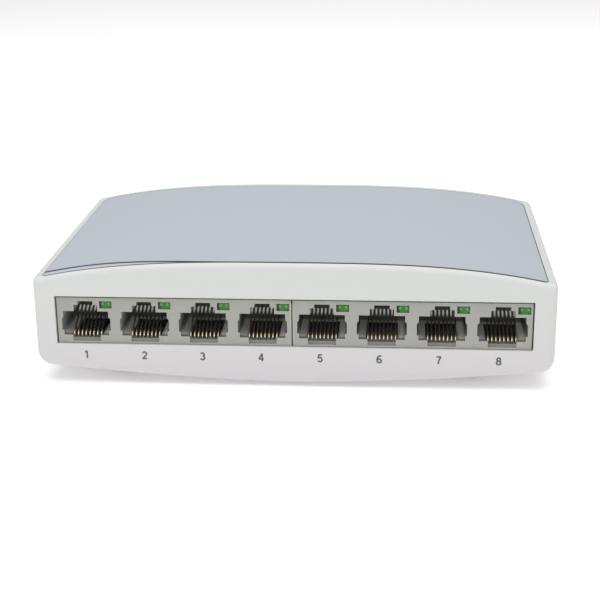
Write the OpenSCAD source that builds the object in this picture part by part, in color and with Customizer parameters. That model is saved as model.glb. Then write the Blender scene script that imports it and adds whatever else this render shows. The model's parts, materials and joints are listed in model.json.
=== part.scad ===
// Desktop network switch: a domed white housing with eight latch-up sockets along the front.
// Frame: the origin is on the surface that it stands on, under the middle of its box.
// +X is to the right as the sockets are faced, +Y is towards the back and +Z is up.
// Millimetres throughout.

/* [Housing] */
// Width across the two sides
body_w = 133.5; // [131:0.1:140]
// Depth from the front face to the back face
body_d = 83.6; // [82:0.1:90]
// Height of the top at its middle
crown_z = 33.4; // [32.5:0.1:36]
// How far the domed top falls from its middle to the shoulders
crown_rise = 4.75; // [3:0.1:5]
// Flatness of the dome: 2 is a parabola, more is flatter in the middle
crown_power = 3.04; // [2:0.02:4]
// Height of the underside at its middle
belly_z = 1; // [0.8:0.1:1.5]
// How far the underside rises from its middle to the lower corners
belly_rise = 3.7; // [3:0.1:4]
// Flatness of the underside
belly_power = 1.7; // [1.6:0.02:2.4]
// Radius of the shoulders, where the top meets the sides
shoulder_r = 1; // [0.8:0.1:2.4]
// Radius of the lower corners
corner_r = 4; // [3:0.1:5]
// Radius of the edges round the front and back faces
edge_r = 1.8; // [1:0.1:2]
// Radius of the two back corners in plan
back_corner_r = 4; // [2:0.5:4.5]
// Thickness of the walls
wall_t = 2.2; // [1.8:0.1:2.4]
// Thickness of the bottom cover
floor_t = 2; // [1.6:0.1:2.2]
// Space between the bottom cover and the walls round it
cover_gap = 0.25; // [0.1:0.05:0.4]

/* [Top panel] */
// White rim left at each side of the panel's pocket
rim_side = 2.3; // [2:0.1:4]
// White rim left at the front of the pocket
rim_front = 1.2; // [1.2:0.1:3]
// White rim left at the back of the pocket
rim_back = 3.4; // [1.2:0.1:4]
// Depth of the pocket below the dome
pocket_depth = 1; // [0.8:0.1:1.2]
// Thickness of the panel
panel_t = 0.65; // [0.5:0.05:0.7]
// Thickness of the film on the panel
film_t = 0.25; // [0.1:0.05:0.3]
// Space between the panel and the pocket's edge
panel_gap = 0.15; // [0.1:0.05:0.3]
// Radius of the panel's front corners in plan
panel_front_r = 1.2; // [1:0.1:3]
// Radius of the panel's back corners in plan
panel_back_r = 4.5; // [1:0.1:5]
// How far the film's front edge lies behind the panel's front edge
film_back = 0.5; // [0.2:0.05:0.8]
// How much further back that edge sweeps at its left end
film_sweep = 3.4; // [1:0.1:4]
// Where that sweep starts, to the left of the middle
film_sweep_start = 14; // [10:1:30]
// Where that sweep is complete
film_sweep_end = 55; // [45:1:58]

/* [Sockets] */
// Distance between neighbouring sockets
port_pitch = 15.24; // [15.24:0.01:15.3]
// Width of a socket's mouth
mouth_w = 11.8; // [11.6:0.05:12]
// Height of a socket's mouth
mouth_h = 6.54; // [6.5:0.01:6.6]
// Depth of a socket
mouth_d = 13.6; // [13:0.1:14]
// Width across the grooves in the mouth's two sides
groove_w = 12.74; // [12.4:0.02:12.9]
// Width of the step for the plug's latch
latch_w = 6.2; // [6:0.1:6.4]
// Height of that step
latch_h = 1.72; // [1.6:0.02:1.8]
// Width of the notch above the step
notch_w = 3.95; // [3.6:0.05:4.2]
// Height of that notch
notch_h = 1.03; // [0.9:0.01:1.1]
// Width of the comb slot under the mouth
comb_w = 7.25; // [7.2:0.05:7.4]
// Height of the comb slot
comb_h = 1.61; // [1.5:0.01:1.7]
// Depth of the socket blocks, front to back
block_d = 18; // [17.5:0.5:19]
// Height of the socket blocks
block_h = 12.28; // [12.2:0.01:12.6]
// How far the sockets' face lies behind the front face
face_recess = 0.65; // [0.5:0.05:0.8]

/* [Contacts] */
// Distance between neighbouring contacts
contact_pitch = 1.016; // [1.01:0.001:1.02]
// Thickness of a contact wire
contact_t = 0.46; // [0.4:0.02:0.5]
// Radius of the front bend, to the wire's middle
bend_r = 0.6; // [0.55:0.05:0.65]
// Rise of the free leg above level, in degrees
contact_rise = 29; // [28:1:30]
// Length of the free leg
contact_reach = 9.2; // [8:0.1:9.4]

/* [Board] */
// Thickness of the circuit board
board_t = 1.6; // [1.6:0.1:1.6]
// Height of the board's top
board_top = 11.2; // [11.1:0.05:11.3]

/* [Power inlet] */
// Position of the inlet along the back
inlet_x = 40; // [34:1:44]
// Bore of the inlet's barrel
inlet_bore = 6.4; // [6.2:0.1:6.6]
// Diameter of the centre pin
inlet_pin_d = 2; // [1.9:0.1:2.1]

/* [Feet and screws] */
// Radius of a rubber foot
foot_r = 5.5; // [4.5:0.5:6]
// Distance between the left and right feet
foot_span_x = 90; // [84:1:92]
// Distance between the front and back feet
foot_span_y = 56; // [52:1:58]
// Distance between the two wall hooks' keyholes
keyhole_span = 80; // [76:1:84]
// Radius of a screw's shank
screw_r = 1.25; // [1.2:0.05:1.3]

/* [Hidden] */
$fn = 48;
SMALL = 0.01;
PORTS = 8;
PORTS_A_BLOCK = 4;
CONTACTS = 8;

// --- Colours ---
WHITE = [0.85, 0.85, 0.84];
PANEL_BLUE = [0.75, 0.78, 0.8];
FILM_BLUE = [0.73, 0.76, 0.79];
SOCKET_GREY = [0.65, 0.65, 0.62];
GOLD = [0.85, 0.72, 0.4];
TIN = [0.75, 0.75, 0.74];
STEEL = [0.62, 0.62, 0.64];
BOARD_GREEN = [0.08, 0.33, 0.18];
LED_GREEN = [0.1, 0.6, 0.2];
BLACK = [0.08, 0.08, 0.08];
RUBBER = [0.15, 0.15, 0.15];
ALUMINIUM = [0.7, 0.72, 0.74];
CERAMIC = [0.6, 0.5, 0.36];

// --- Housing ---
half_w = body_w / 2;
front_y = -body_d / 2;
back_y = body_d / 2;
inner_w = body_w - 2 * wall_t;
inner_d = body_d - 2 * wall_t;
pocket_w = body_w - 2 * rim_side;
pocket_d = body_d - rim_front - rim_back;
pocket_y = (rim_front - rim_back) / 2;
crown_slope = atan(crown_rise * crown_power / (half_w - shoulder_r));
belly_slope = atan(belly_rise * belly_power / (half_w - corner_r));
rear_vent_x = -50;
rear_vent_z = 15;
rear_vent_step = 4;
rear_vent_size = [1.8, wall_t + 1, 8];
rear_vents_n = 10;
floor_vent_step = 4.4;
floor_vents_n = 6;
floor_vent_y = 3;
floor_vent_row = 13;
floor_vent_r = 0.9;
floor_vent_len = 16;
CURVE_STEPS = 14;
CORNER_STEPS = 5;
EDGE_STEPS = 4;
SWEEP_STEPS = 12;
SHOULDER_LEAST = 0.3;

// --- Sockets, measured from the sockets' face ---
face_y = front_y + face_recess;
board_z = board_top - board_t;
comb_z = board_top + 0.45;
mouth_z = comb_z + comb_h;
mouth_top = mouth_z + mouth_h;
latch_top = mouth_top + latch_h;
notch_top = latch_top + notch_h;
block_w = PORTS_A_BLOCK * port_pitch - 0.16;
opening_w = PORTS * port_pitch + 0.3;
opening_z = board_top - 0.1;
opening_over = 0.54;
opening_top = board_top + block_h + opening_over;
// The grooves in the sides of a mouth, from their lower edge to where their top starts to slant
groove_z = mouth_z + 1.34;
groove_top = mouth_top - 2.1;
groove_slant = 0.5;
// The lip in front of the contacts and the trench that they lie in
lip_front = 0.5;
lip_t = 0.45;
lip_top = comb_z + 0.85;
trench_z = comb_z + 0.35;
trench_w = 8.2;
// Status lights
led_x = 5.3;
led_w = 3.15;
led_z = mouth_top + 0.82;
led_h = 1.95;
led_d = 9;
led_gap = 0.05;
led_lead_x = 0.6;
led_lead_t = 0.4;
led_lead_y = block_d + 0.6;

// --- Contacts, measured from the sockets' face ---
bend_y = 2;
bend_z = comb_z + 1.45;
bend_end = 90 + contact_rise - 360;
BEND_STEPS = 9;
tail_gap = 0.15;
tail_rows = [18.9, 20.2];
pin_below = 1.4;
pin_hole_r = 0.4;

// --- Board ---
board_front = front_y + wall_t + 0.9;
board_back = back_y - wall_t - 0.9;
board_wide = 122.6;
board_narrow = 105;
board_neck = -18.5;
board_screws = [[-30.5, -12.5], [30.5, -12.5], [-47, 33.5], [22, 33.5]];

// --- Parts on the board ---
magnetics_size = [15, 10.4, 5.6];
magnetics_y = -12.5;
magnetics_leads = 10;
magnetics_pitch = 1.27;
stand_off = 0.15;
chip_pos = [0, 11];
chip_size = [20, 14, 2.7];
chip_pitch = 0.5;
chip_leads_long = 38;
chip_leads_short = 26;
sink_w = 18;
sink_d = 13;
sink_base = 1.6;
sink_h = 8;
sink_fins = 7;
sink_fin_t = 0.9;
pad_t = 0.5;
crystal_pos = [-22, 12];
capacitors = [[27, 24, 4, 11.5], [27, 14, 4, 11.5], [-24, 27, 3.15, 7.5]];
inductor_pos = [39, 12];
inductor_size = [7.3, 7.3, 4.2];
regulator_pos = [39, 1.5];
regulator_size = [6.5, 3.5, 1.6];
regulator_leg_x = 2.3;
chip_top = board_top + stand_off + chip_size[2];
// Chip resistors in two rows of ten, chip capacitors in one row across and one row back
resistor_size = [1.6, 0.8, 0.45];
resistors_at = [-22.5, -3.6];
resistor_step = [5, 1.8];
ceramic_size = [1.6, 0.8, 0.8];
ceramics_across_at = [-14, 22.5];
ceramics_back_at = [-40, -2];
ceramic_step = 4;

// --- Power inlet ---
inlet_w = 9;
inlet_h = 11;
inlet_d = 14.2;
inlet_y = back_y - 0.3;
inlet_z = board_top + 6.5;
inlet_bore_d = 9.5;
inlet_pin_len = 8.5;
inlet_step = 3.4;
inlet_body_h = 9.6;
spring_t = 0.3;
spring_w = 2.4;
spring_lift = 1.45;
spring_len = 6.4;
spring_slot_w = 3;
inlet_core_r = 1.25;
inlet_core_y = inlet_d + 1.2;
inlet_hinge_y = inlet_y - inlet_bore_d + 0.9;
inlet_hinge_z = inlet_z - inlet_bore / 2 - 0.9;
// The three solder tags: centre pin at the back, sleeve spring below and switch tag at the side
tag_t = 0.5;
tag_w = 1.6;
tag_hole_r = 1;
pin_tag = [inlet_x, inlet_y - inlet_d - 0.7];
spring_tag = [inlet_x, inlet_hinge_y - 0.2 - tag_t];
switch_tag = [inlet_x + inlet_w / 2 + tag_t / 2, inlet_y - 10.6];

// --- Feet and screws ---
foot_pad_z = 2.2;
foot_pad_r = foot_r + 1;
foot_recess = 0.6;
case_screws_at = [[-57.2, -12.8], [57.2, -12.8], [-57.2, 33.4], [57.2, 33.4]];
boss_r = 3.3;
boss_z = 8.4;
head_r = 2.4;
head_h = 1.5;
head_z = 6.3;
screw_len = 9;
pilot_r = screw_r + 0.02;
clear_r = screw_r + 0.3;
board_screw_len = 4.2;
keyhole_r = 3.5;
keyhole_slot_r = 2;
keyhole_reach = 5.5;

// ---------------------------------------------------------------- shared shapes

// The middle of a port, counted from 1 at the left
function port_x(p) = (p - (PORTS + 1) / 2) * port_pitch;

// Where contact n of a port lies, counted from 0
function contact_x(n) = (n - (CONTACTS - 1) / 2) * contact_pitch;

// Height of the dome and of the underside at x, for a section drawn in by inset
function dome_z(x, inset = 0) =
    crown_z - inset - crown_rise * pow(abs(x) / (half_w - shoulder_r), crown_power);
function belly_height(x) =
    belly_z + belly_rise * pow(min(1, abs(x) / (half_w - corner_r)), belly_power);

// Points of an arc, from one angle to another
function arc(cx, cz, r, from, to, steps) =
    [for (i = [0:steps]) let (a = from + (to - from) * i / steps) [cx + r * cos(a), cz + r * sin(a)]];

// The dome from the right shoulder to the left one, then the same with the underside
function dome_points(inset, reach) =
    [for (i = [-CURVE_STEPS:CURVE_STEPS]) let (x = -reach * i / CURVE_STEPS) [x, dome_z(x, inset)]];
function belly_points(inset, reach) =
    [for (i = [-CURVE_STEPS:CURVE_STEPS]) let (x = reach * i / CURVE_STEPS) [x, belly_height(x) + inset]];

// One shoulder, rounded from the side up to the dome, with a small radius left on the faces' outlines
function shoulder(inset) =
    let (
        r = max(SHOULDER_LEAST, shoulder_r - inset),
        x = half_w - inset - r,
        z = dome_z(x, inset) - r
    ) arc(x, z, r, 0, 90 - crown_slope, CORNER_STEPS);
function corner(inset) =
    let (r = corner_r - inset, x = half_w - corner_r, z = belly_height(x) + inset + r)
    arc(x, z, r, -90 + belly_slope, 0, CORNER_STEPS);
function mirrored(points) =
    [for (i = [len(points) - 1:-1:0]) [-points[i][0], points[i][1]]];

// The housing's cross-section, drawn in by inset
function section(inset) = concat(
    corner(inset),
    shoulder(inset),
    dome_points(inset, half_w - shoulder_r - 1.5),
    mirrored(shoulder(inset)),
    mirrored(corner(inset)),
    belly_points(inset, half_w - corner_r - 2)
);

// Extrudes a section drawn in X and Z along Y, from y to y + length
module along_y(y, length) {
    translate([0, y + length, 0])
        rotate([90, 0, 0])
            linear_extrude(length)
                children();
}

// Extrudes a side view drawn in Y and Z along X, centred on x
module along_x(x, width) {
    translate([x - width / 2, 0, 0])
        rotate([90, 0, 90])
            linear_extrude(width)
                children();
}

// A box centred on x and y that stands on z
module block(x, y, z, size) {
    translate([x - size[0] / 2, y - size[1] / 2, z])
        cube(size);
}

module post(x, y, z, r, h) {
    translate([x, y, z])
        cylinder(r = r, h = h);
}

// A rounded slot, along Y
module slot(x, y, z, r, length, h) {
    post(x, y - length / 2, z, r, h);
    post(x, y + length / 2, z, r, h);
    block(x, y, z, [2 * r, length, h]);
}

// A flat sheet bent along a line of points
function sheet_normal(points, i) =
    let (
        a = points[max(0, i - 1)],
        b = points[min(len(points) - 1, i + 1)],
        d = (b - a) / norm(b - a)
    ) [-d[1], d[0]];
module bent_sheet(points, t) {
    upper = [for (i = [0:len(points) - 1]) points[i] + sheet_normal(points, i) * t / 2];
    lower = [for (i = [len(points) - 1:-1:0]) points[i] - sheet_normal(points, i) * t / 2];
    polygon(concat(upper, lower));
}

// ---------------------------------------------------------------- housing

// The rounded outer solid: rings of the cross-section, drawn in towards the front and back faces
function edge_ring(i, side) =
    let (
        turn = 90 * i / EDGE_STEPS,
        y = side * (body_d / 2 - edge_r * (1 - cos(turn)))
    ) [for (p = section(edge_r * (1 - sin(turn)))) [p[0], y, p[1]]];

module outer_solid() {
    front = [for (i = [0:EDGE_STEPS]) edge_ring(i, -1)];
    back = [for (i = [EDGE_STEPS:-1:0]) edge_ring(i, 1)];
    rings = concat(front, back);
    n = len(rings[0]);
    last = len(rings) - 1;
    sides = [
        for (k = [0:last - 1], i = [0:n - 1])
        let (j = (i + 1) % n) [k * n + i, k * n + j, (k + 1) * n + j, (k + 1) * n + i]
    ];
    front_cap = [for (i = [n - 1:-1:0]) i];
    back_cap = [for (i = [0:n - 1]) last * n + i];
    polyhedron([for (r = rings) each r], concat(sides, [front_cap, back_cap]));
}

// The plan of the housing: square corners at the front and round ones at the back
module housing_plan() {
    linear_extrude(crown_z + 1)
        hull() {
            translate([-half_w, front_y])
                square([body_w, body_d / 2]);
            for (side = [-1, 1])
                translate([side * (half_w - back_corner_r), back_y - back_corner_r])
                    circle(back_corner_r);
        }
}

// The hollow inside, open below
module inner_space() {
    roof = dome_points(wall_t, inner_w / 2);
    along_y(-inner_d / 2, inner_d)
        polygon(concat([[inner_w / 2, -wall_t]], roof, [[-inner_w / 2, -wall_t]]));
}

// A layer of the dome between two depths, with the plan of the panel's pocket less a gap
module dome_layer(depth, t, gap) {
    top = dome_points(depth, half_w - rim_side);
    under = [for (i = [len(top) - 1:-1:0]) [top[i][0], top[i][1] - t]];
    intersection() {
        along_y(-body_d / 2, body_d)
            polygon(concat(top, under));
        pocket_plan(pocket_w - 2 * gap, pocket_d - 2 * gap);
    }
}

// The plan of the panel: a rectangle with round corners, larger at the back
module pocket_plan(w, d) {
    linear_extrude(crown_z + 1)
        hull()
            for (side = [-1, 1]) {
                translate([side * (w / 2 - panel_front_r), pocket_y + panel_front_r - d / 2])
                    circle(panel_front_r);
                translate([side * (w / 2 - panel_back_r), pocket_y + d / 2 - panel_back_r])
                    circle(panel_back_r);
            }
}

// How far the film's front edge lies behind the panel's at x
function film_edge(x) =
    let (t = max(0, min(1, (-x - film_sweep_start) / (film_sweep_end - film_sweep_start))))
    film_back + film_sweep * t * t * (3 - 2 * t);

// The space in front of the film's front edge
module film_cut() {
    edge_y = front_y + rim_front + panel_gap;
    line = [
        for (i = [0:SWEEP_STEPS])
        let (x = -film_sweep_start - (film_sweep_end - film_sweep_start) * i / SWEEP_STEPS)
        [x, edge_y + film_edge(x)]
    ];
    ends = [
        [-half_w, edge_y + film_edge(-half_w)],
        [-half_w, front_y - 1],
        [half_w, front_y - 1],
        [half_w, edge_y + film_back]
    ];
    linear_extrude(crown_z + 1)
        polygon(concat(line, ends));
}

module rear_vents() {
    for (i = [0:rear_vents_n - 1])
        block(rear_vent_x + rear_vent_step * i, back_y - wall_t / 2, rear_vent_z, rear_vent_size);
}

module top_cover() {
    color(WHITE)
        difference() {
            union() {
                difference() {
                    intersection() {
                        outer_solid();
                        housing_plan();
                    }
                    inner_space();
                }
                for (s = case_screws_at)
                    post(s[0], s[1], boss_z, boss_r, dome_z(s[0], wall_t) - boss_z + 0.8);
            }
            dome_layer(-1, pocket_depth + 1, 0);
            block(0, front_y, opening_z, [opening_w, 3 * wall_t, opening_top - opening_z]);
            block(inlet_x, back_y, board_top - 0.25, [inlet_w + 0.5, 3 * wall_t, inlet_h + 0.5]);
            rear_vents();
            for (s = case_screws_at)
                post(s[0], s[1], boss_z - 1, pilot_r, screw_len);
        }
}

module top_panel() {
    color(PANEL_BLUE)
        dome_layer(pocket_depth - panel_t, panel_t, panel_gap);
}

module top_film() {
    color(FILM_BLUE)
        difference() {
            dome_layer(pocket_depth - panel_t - film_t, film_t, panel_gap);
            film_cut();
        }
}

// The underside as a sheet: lift above the outline, thickness t, half width reach
module belly_sheet(lift, t, reach) {
    low = belly_points(lift, reach);
    polygon(concat(low, [for (i = [len(low) - 1:-1:0]) [low[i][0], low[i][1] + t]]));
}

// Every place that a foot stands
function foot_at(sx, sy) = [sx * foot_span_x / 2, sy * foot_span_y / 2 + 1];

// What the bottom cover carries: screw tubes, board posts, foot pads and stiffening ribs
module cover_fittings() {
    rib_t = 1.2;
    rib_h = 2.6;
    rib_in = 12;
    for (s = case_screws_at)
        post(s[0], s[1], belly_height(s[0]) + 0.6, boss_r + 0.4, boss_z - 0.05 - belly_height(s[0]) - 0.6);
    for (s = board_screws)
        post(s[0], s[1], belly_height(s[0]) + 1, boss_r, board_z - belly_height(s[0]) - 1);
    for (sx = [-1, 1], sy = [-1, 1]) {
        at = foot_at(sx, sy);
        post(at[0], at[1], foot_pad_z, foot_pad_r, belly_height(at[0]) + floor_t + 0.6 - foot_pad_z);
    }
    for (side = [-1, 1])
        along_y(side * (inner_d / 2 - 3) - rib_t / 2, rib_t)
            belly_sheet(floor_t / 2, floor_t / 2 + rib_h, inner_w / 2 - rib_in);
}

module keyhole(x) {
    post(x, 0, 0, keyhole_r, board_z);
    slot(x, keyhole_reach / 2, 0, keyhole_slot_r, keyhole_reach, board_z);
}

module floor_vents() {
    for (row = [-1, 1], i = [-floor_vents_n:floor_vents_n])
        slot(floor_vent_step * i, floor_vent_y + floor_vent_row * row, 0,
            floor_vent_r, floor_vent_len, belly_z + 2 * floor_t);
}

module bottom_cover() {
    color(WHITE)
        difference() {
            union() {
                along_y(-inner_d / 2 + cover_gap, inner_d - 2 * cover_gap)
                    belly_sheet(0.2, floor_t, inner_w / 2 - cover_gap);
                cover_fittings();
            }
            for (s = case_screws_at) {
                post(s[0], s[1], 0, head_r + 0.3, head_z);
                post(s[0], s[1], 0, clear_r, 2 * boss_z);
            }
            for (s = board_screws)
                post(s[0], s[1], board_z - board_screw_len, pilot_r, board_screw_len + 1);
            for (sx = [-1, 1], sy = [-1, 1]) {
                at = foot_at(sx, sy);
                post(at[0], at[1], 0, foot_r + 0.1, foot_pad_z + foot_recess);
            }
            for (side = [-1, 1])
                keyhole(side * keyhole_span / 2);
            floor_vents();
        }
}

module foot(sx, sy) {
    at = foot_at(sx, sy);
    color(RUBBER)
        post(at[0], at[1], 0, foot_r, foot_pad_z + foot_recess);
}

// A pan-head screw that points up or down, with a cross recess in its head
module screw(x, y, head_at, length, up) {
    translate([x, y, head_at])
        rotate([up ? 0 : 180, 0, 0])
            difference() {
                union() {
                    translate([0, 0, -head_h])
                        cylinder(r = head_r, h = head_h);
                    cylinder(r = screw_r, h = length);
                }
                for (turn = [0, 90])
                    rotate([0, 0, turn])
                        block(0, 0, -head_h - 1, [2.6, 0.6, 1.8]);
            }
}

module case_screws() {
    color(STEEL)
        for (s = case_screws_at)
            screw(s[0], s[1], head_z, screw_len, true);
}

// ---------------------------------------------------------------- circuit board

module pin_hole(x, y, r) {
    post(x, y, board_z - 1, r, board_t + 2);
}

module board_holes() {
    for (p = [1:PORTS]) {
        for (n = [0:CONTACTS - 1])
            pin_hole(port_x(p) + contact_x(n), face_y + tail_rows[n % 2], pin_hole_r);
        for (side = [-1, 1])
            pin_hole(port_x(p) + led_x + side * led_lead_x, face_y + led_lead_y, pin_hole_r);
    }
    for (t = [pin_tag, spring_tag, switch_tag])
        pin_hole(t[0], t[1], tag_hole_r);
}

// The board from its front edge back to end
module board_part(width, end) {
    block(0, (board_front + end) / 2, board_z, [width, end - board_front, board_t]);
}

module circuit_board() {
    color(BOARD_GREEN)
        difference() {
            union() {
                board_part(board_wide, board_neck);
                board_part(board_narrow, board_back);
            }
            board_holes();
            for (s = board_screws)
                pin_hole(s[0], s[1], clear_r);
        }
}

module board_screws() {
    color(STEEL)
        for (s = board_screws)
            screw(s[0], s[1], board_top, board_t + board_screw_len - 0.4, false);
}

// ---------------------------------------------------------------- sockets

// The mouth of a socket seen from the front, as a polygon in X and Z
module mouth_outline() {
    half = [
        [notch_w / 2, notch_top],
        [notch_w / 2, latch_top],
        [latch_w / 2, latch_top],
        [latch_w / 2, mouth_top],
        [mouth_w / 2, mouth_top],
        [mouth_w / 2, groove_top + groove_slant],
        [groove_w / 2, groove_top],
        [groove_w / 2, groove_z],
        [mouth_w / 2, groove_z],
        [mouth_w / 2, mouth_z]
    ];
    polygon(concat(half, mirrored(half)));
}

// Everything that is cut out of a block for one socket
module socket_space(p) {
    x = port_x(p);
    past = 1;
    translate([x, 0, 0])
        along_y(face_y - past, mouth_d + past)
            mouth_outline();
    block(x, face_y + lip_front / 2 - past / 2, comb_z, [comb_w, lip_front + past, comb_h + 1]);
    block(x, face_y + mouth_d / 2, lip_top, [comb_w, mouth_d, mouth_z - lip_top + 1]);
    trench_front = lip_front + lip_t;
    trench_len = block_d + past - trench_front;
    block(x, face_y + trench_front + trench_len / 2, trench_z, [trench_w, trench_len, 1]);
    well_len = mouth_d - trench_front;
    block(x, face_y + trench_front + well_len / 2, trench_z, [trench_w, well_len, mouth_z - trench_z + 1]);
    block(x + led_x, face_y + block_d / 2, led_z, [led_w + 2 * led_gap, block_d + 2 * past, led_h]);
}

module socket_block(first) {
    middle = (port_x(first) + port_x(first + PORTS_A_BLOCK - 1)) / 2;
    chamfer = 0.3;
    color(SOCKET_GREY)
        difference() {
            block(middle, face_y + block_d / 2, board_top, [block_w, block_d, block_h]);
            for (p = [first:first + PORTS_A_BLOCK - 1])
                socket_space(p);
            for (side = [-1, 1])
                translate([middle + side * block_w / 2, face_y, board_top])
                    rotate([0, 0, 45])
                        translate([-chamfer / 2, -chamfer / 2, -1])
                            cube([chamfer, chamfer, block_h + 2]);
        }
}

// The free leg and front bend of one contact, from the side; the leg is sprung about the bend
function contact_line() =
    let (
        bend = arc(bend_y, bend_z, bend_r, -90, bend_end, BEND_STEPS),
        last = bend[len(bend) - 1]
    ) concat(
        [[bend_y + tail_gap / 3, bend_z - bend_r]],
        bend,
        [last + contact_reach * [cos(contact_rise), sin(contact_rise)]]
    );

module port_contacts(p) {
    color(GOLD)
        for (n = [0:CONTACTS - 1])
            translate([0, face_y, 0])
                along_x(port_x(p) + contact_x(n), contact_t)
                    bent_sheet(contact_line(), contact_t);
}

// The fixed tail of one contact: back under the socket, then down through the board
module contact_tail(x, row) {
    low = bend_z - bend_r - contact_t / 2;
    start = face_y + bend_y + tail_gap;
    end = face_y + tail_rows[row] + contact_t / 2;
    translate([x - contact_t / 2, start, low])
        cube([contact_t, end - start, contact_t]);
    translate([x - contact_t / 2, end - contact_t, board_z - pin_below])
        cube([contact_t, contact_t, low + contact_t - board_z + pin_below]);
}

module contact_tails(first) {
    color(GOLD)
        for (p = [first:first + PORTS_A_BLOCK - 1], n = [0:CONTACTS - 1])
            contact_tail(port_x(p) + contact_x(n), n % 2);
}

module port_light(p) {
    color(LED_GREEN)
        block(port_x(p) + led_x, face_y + led_gap + led_d / 2, led_z + led_gap,
            [led_w, led_d, led_h - 2 * led_gap]);
}

module light_leads() {
    y = face_y + led_d + led_gap;
    end = face_y + led_lead_y + led_lead_t / 2;
    z = led_z + led_h / 2;
    color(TIN)
        for (p = [1:PORTS], side = [-1, 1])
            translate([port_x(p) + led_x + side * led_lead_x - led_lead_t / 2, 0, 0]) {
                translate([0, y, z])
                    cube([led_lead_t, end - y, led_lead_t]);
                translate([0, end - led_lead_t, board_z - pin_below])
                    cube([led_lead_t, led_lead_t, z + led_lead_t - board_z + pin_below]);
            }
}

// ---------------------------------------------------------------- parts on the board

// A gull-wing lead that leaves a package at x = 0 and runs towards +X
module gull_lead(width, height, reach) {
    t = 0.2;
    line = [
        [-0.3, height],
        [reach * 0.3, height],
        [reach * 0.5, t / 2],
        [reach, t / 2]
    ];
    translate([0, width / 2, 0])
        rotate([90, 0, 0])
            linear_extrude(width)
                bent_sheet(line, t);
}

// A row of gull-wing leads along one side of a package; turn says which side
module lead_row(at, turn, offset, count, pitch, width, height, reach) {
    translate([at[0], at[1], board_top])
        rotate([0, 0, turn])
            for (i = [0:count - 1])
                translate([offset + 0.3, (i - (count - 1) / 2) * pitch, 0])
                    gull_lead(width, height, reach);
}

function magnetics_x(m) = (m - 2.5) * 2 * port_pitch;

module magnetics(m) {
    color(BLACK)
        block(magnetics_x(m), magnetics_y, board_top + stand_off, magnetics_size);
}

module magnetics_pins() {
    color(TIN)
        for (m = [1:4], turn = [90, 270])
            lead_row([magnetics_x(m), magnetics_y], turn, magnetics_size[1] / 2,
                magnetics_leads, magnetics_pitch, 0.5, 1.6, 1.3);
}

module switch_chip() {
    color(BLACK)
        block(chip_pos[0], chip_pos[1], board_top + stand_off, chip_size);
}

module switch_chip_pins() {
    color(TIN)
        for (side = [0, 180]) {
            lead_row(chip_pos, side, chip_size[0] / 2, chip_leads_short, chip_pitch, 0.22, 1.3, 1.1);
            lead_row(chip_pos, side + 90, chip_size[1] / 2, chip_leads_long, chip_pitch, 0.22, 1.3, 1.1);
        }
}

module thermal_pad() {
    color(ALUMINIUM)
        block(chip_pos[0], chip_pos[1], chip_top, [sink_w - 4, sink_d - 2, pad_t]);
}

module heat_sink() {
    z = chip_top + pad_t;
    step = (sink_w - sink_fin_t) / (sink_fins - 1);
    color(ALUMINIUM) {
        block(chip_pos[0], chip_pos[1], z, [sink_w, sink_d, sink_base]);
        for (i = [0:sink_fins - 1])
            block(chip_pos[0] - sink_w / 2 + sink_fin_t / 2 + i * step, chip_pos[1], z + sink_base - SMALL,
                [sink_fin_t, sink_d, sink_h - sink_base]);
    }
}

module crystal() {
    color(STEEL) {
        block(crystal_pos[0], crystal_pos[1], board_top, [6.2, 4.4, 3.4]);
        for (side = [-1, 1])
            post(crystal_pos[0] + side * 3.1, crystal_pos[1], board_top, 2.2, 3.4);
    }
}

module capacitor(i) {
    c = capacitors[i];
    color(BLACK) {
        block(c[0], c[1], board_top, [2.1 * c[2], 2.1 * c[2], 0.8]);
        post(c[0], c[1], board_top, c[2], c[3]);
    }
}

module power_inductor() {
    color(BLACK)
        difference() {
            block(inductor_pos[0], inductor_pos[1], board_top, inductor_size);
            post(inductor_pos[0], inductor_pos[1], board_top + inductor_size[2] - 0.4, 2.6, 1);
        }
}

module regulator() {
    color(BLACK)
        block(regulator_pos[0], regulator_pos[1], board_top + stand_off, regulator_size);
    color(TIN)
        for (i = [-1:1])
            block(regulator_pos[0] + regulator_leg_x * i, regulator_pos[1] - regulator_size[1] / 2 - 0.8,
                board_top, [0.7, 1.7, 0.6]);
}

module chip_resistors() {
    color(BLACK)
        for (i = [0:9], row = [0, 1])
            block(resistors_at[0] + resistor_step[0] * i, resistors_at[1] + resistor_step[1] * row,
                board_top, resistor_size);
}

module chip_capacitors() {
    color(CERAMIC)
        for (i = [0:7]) {
            block(ceramics_across_at[0] + ceramic_step * i, ceramics_across_at[1], board_top, ceramic_size);
            block(ceramics_back_at[0], ceramics_back_at[1] + ceramic_step * i, board_top,
                [ceramic_size[1], ceramic_size[0], ceramic_size[2]]);
        }
}

// ---------------------------------------------------------------- power inlet

module inlet_housing() {
    color(BLACK)
        difference() {
            union() {
                block(inlet_x, inlet_y - inlet_step / 2, board_top, [inlet_w, inlet_step, inlet_h]);
                block(inlet_x, inlet_y - inlet_d / 2, board_top,
                    [inlet_w, inlet_d, inlet_body_h - inlet_w / 2]);
                translate([inlet_x, inlet_y - inlet_d, board_top + inlet_body_h - inlet_w / 2])
                    rotate([-90, 0, 0])
                        cylinder(r = inlet_w / 2, h = inlet_d);
            }
            translate([inlet_x, inlet_y - inlet_bore_d, inlet_z])
                rotate([-90, 0, 0])
                    cylinder(r = inlet_bore / 2, h = inlet_bore_d + 1);
            translate([inlet_x, inlet_y - inlet_d - 1, inlet_z])
                rotate([-90, 0, 0])
                    cylinder(r = inlet_core_r + 0.02, h = inlet_d);
            block(inlet_x, inlet_y - inlet_bore_d / 2 - 1.2, board_top - 1,
                [spring_slot_w, inlet_bore_d - 1.2, inlet_z - board_top]);
        }
}

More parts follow.
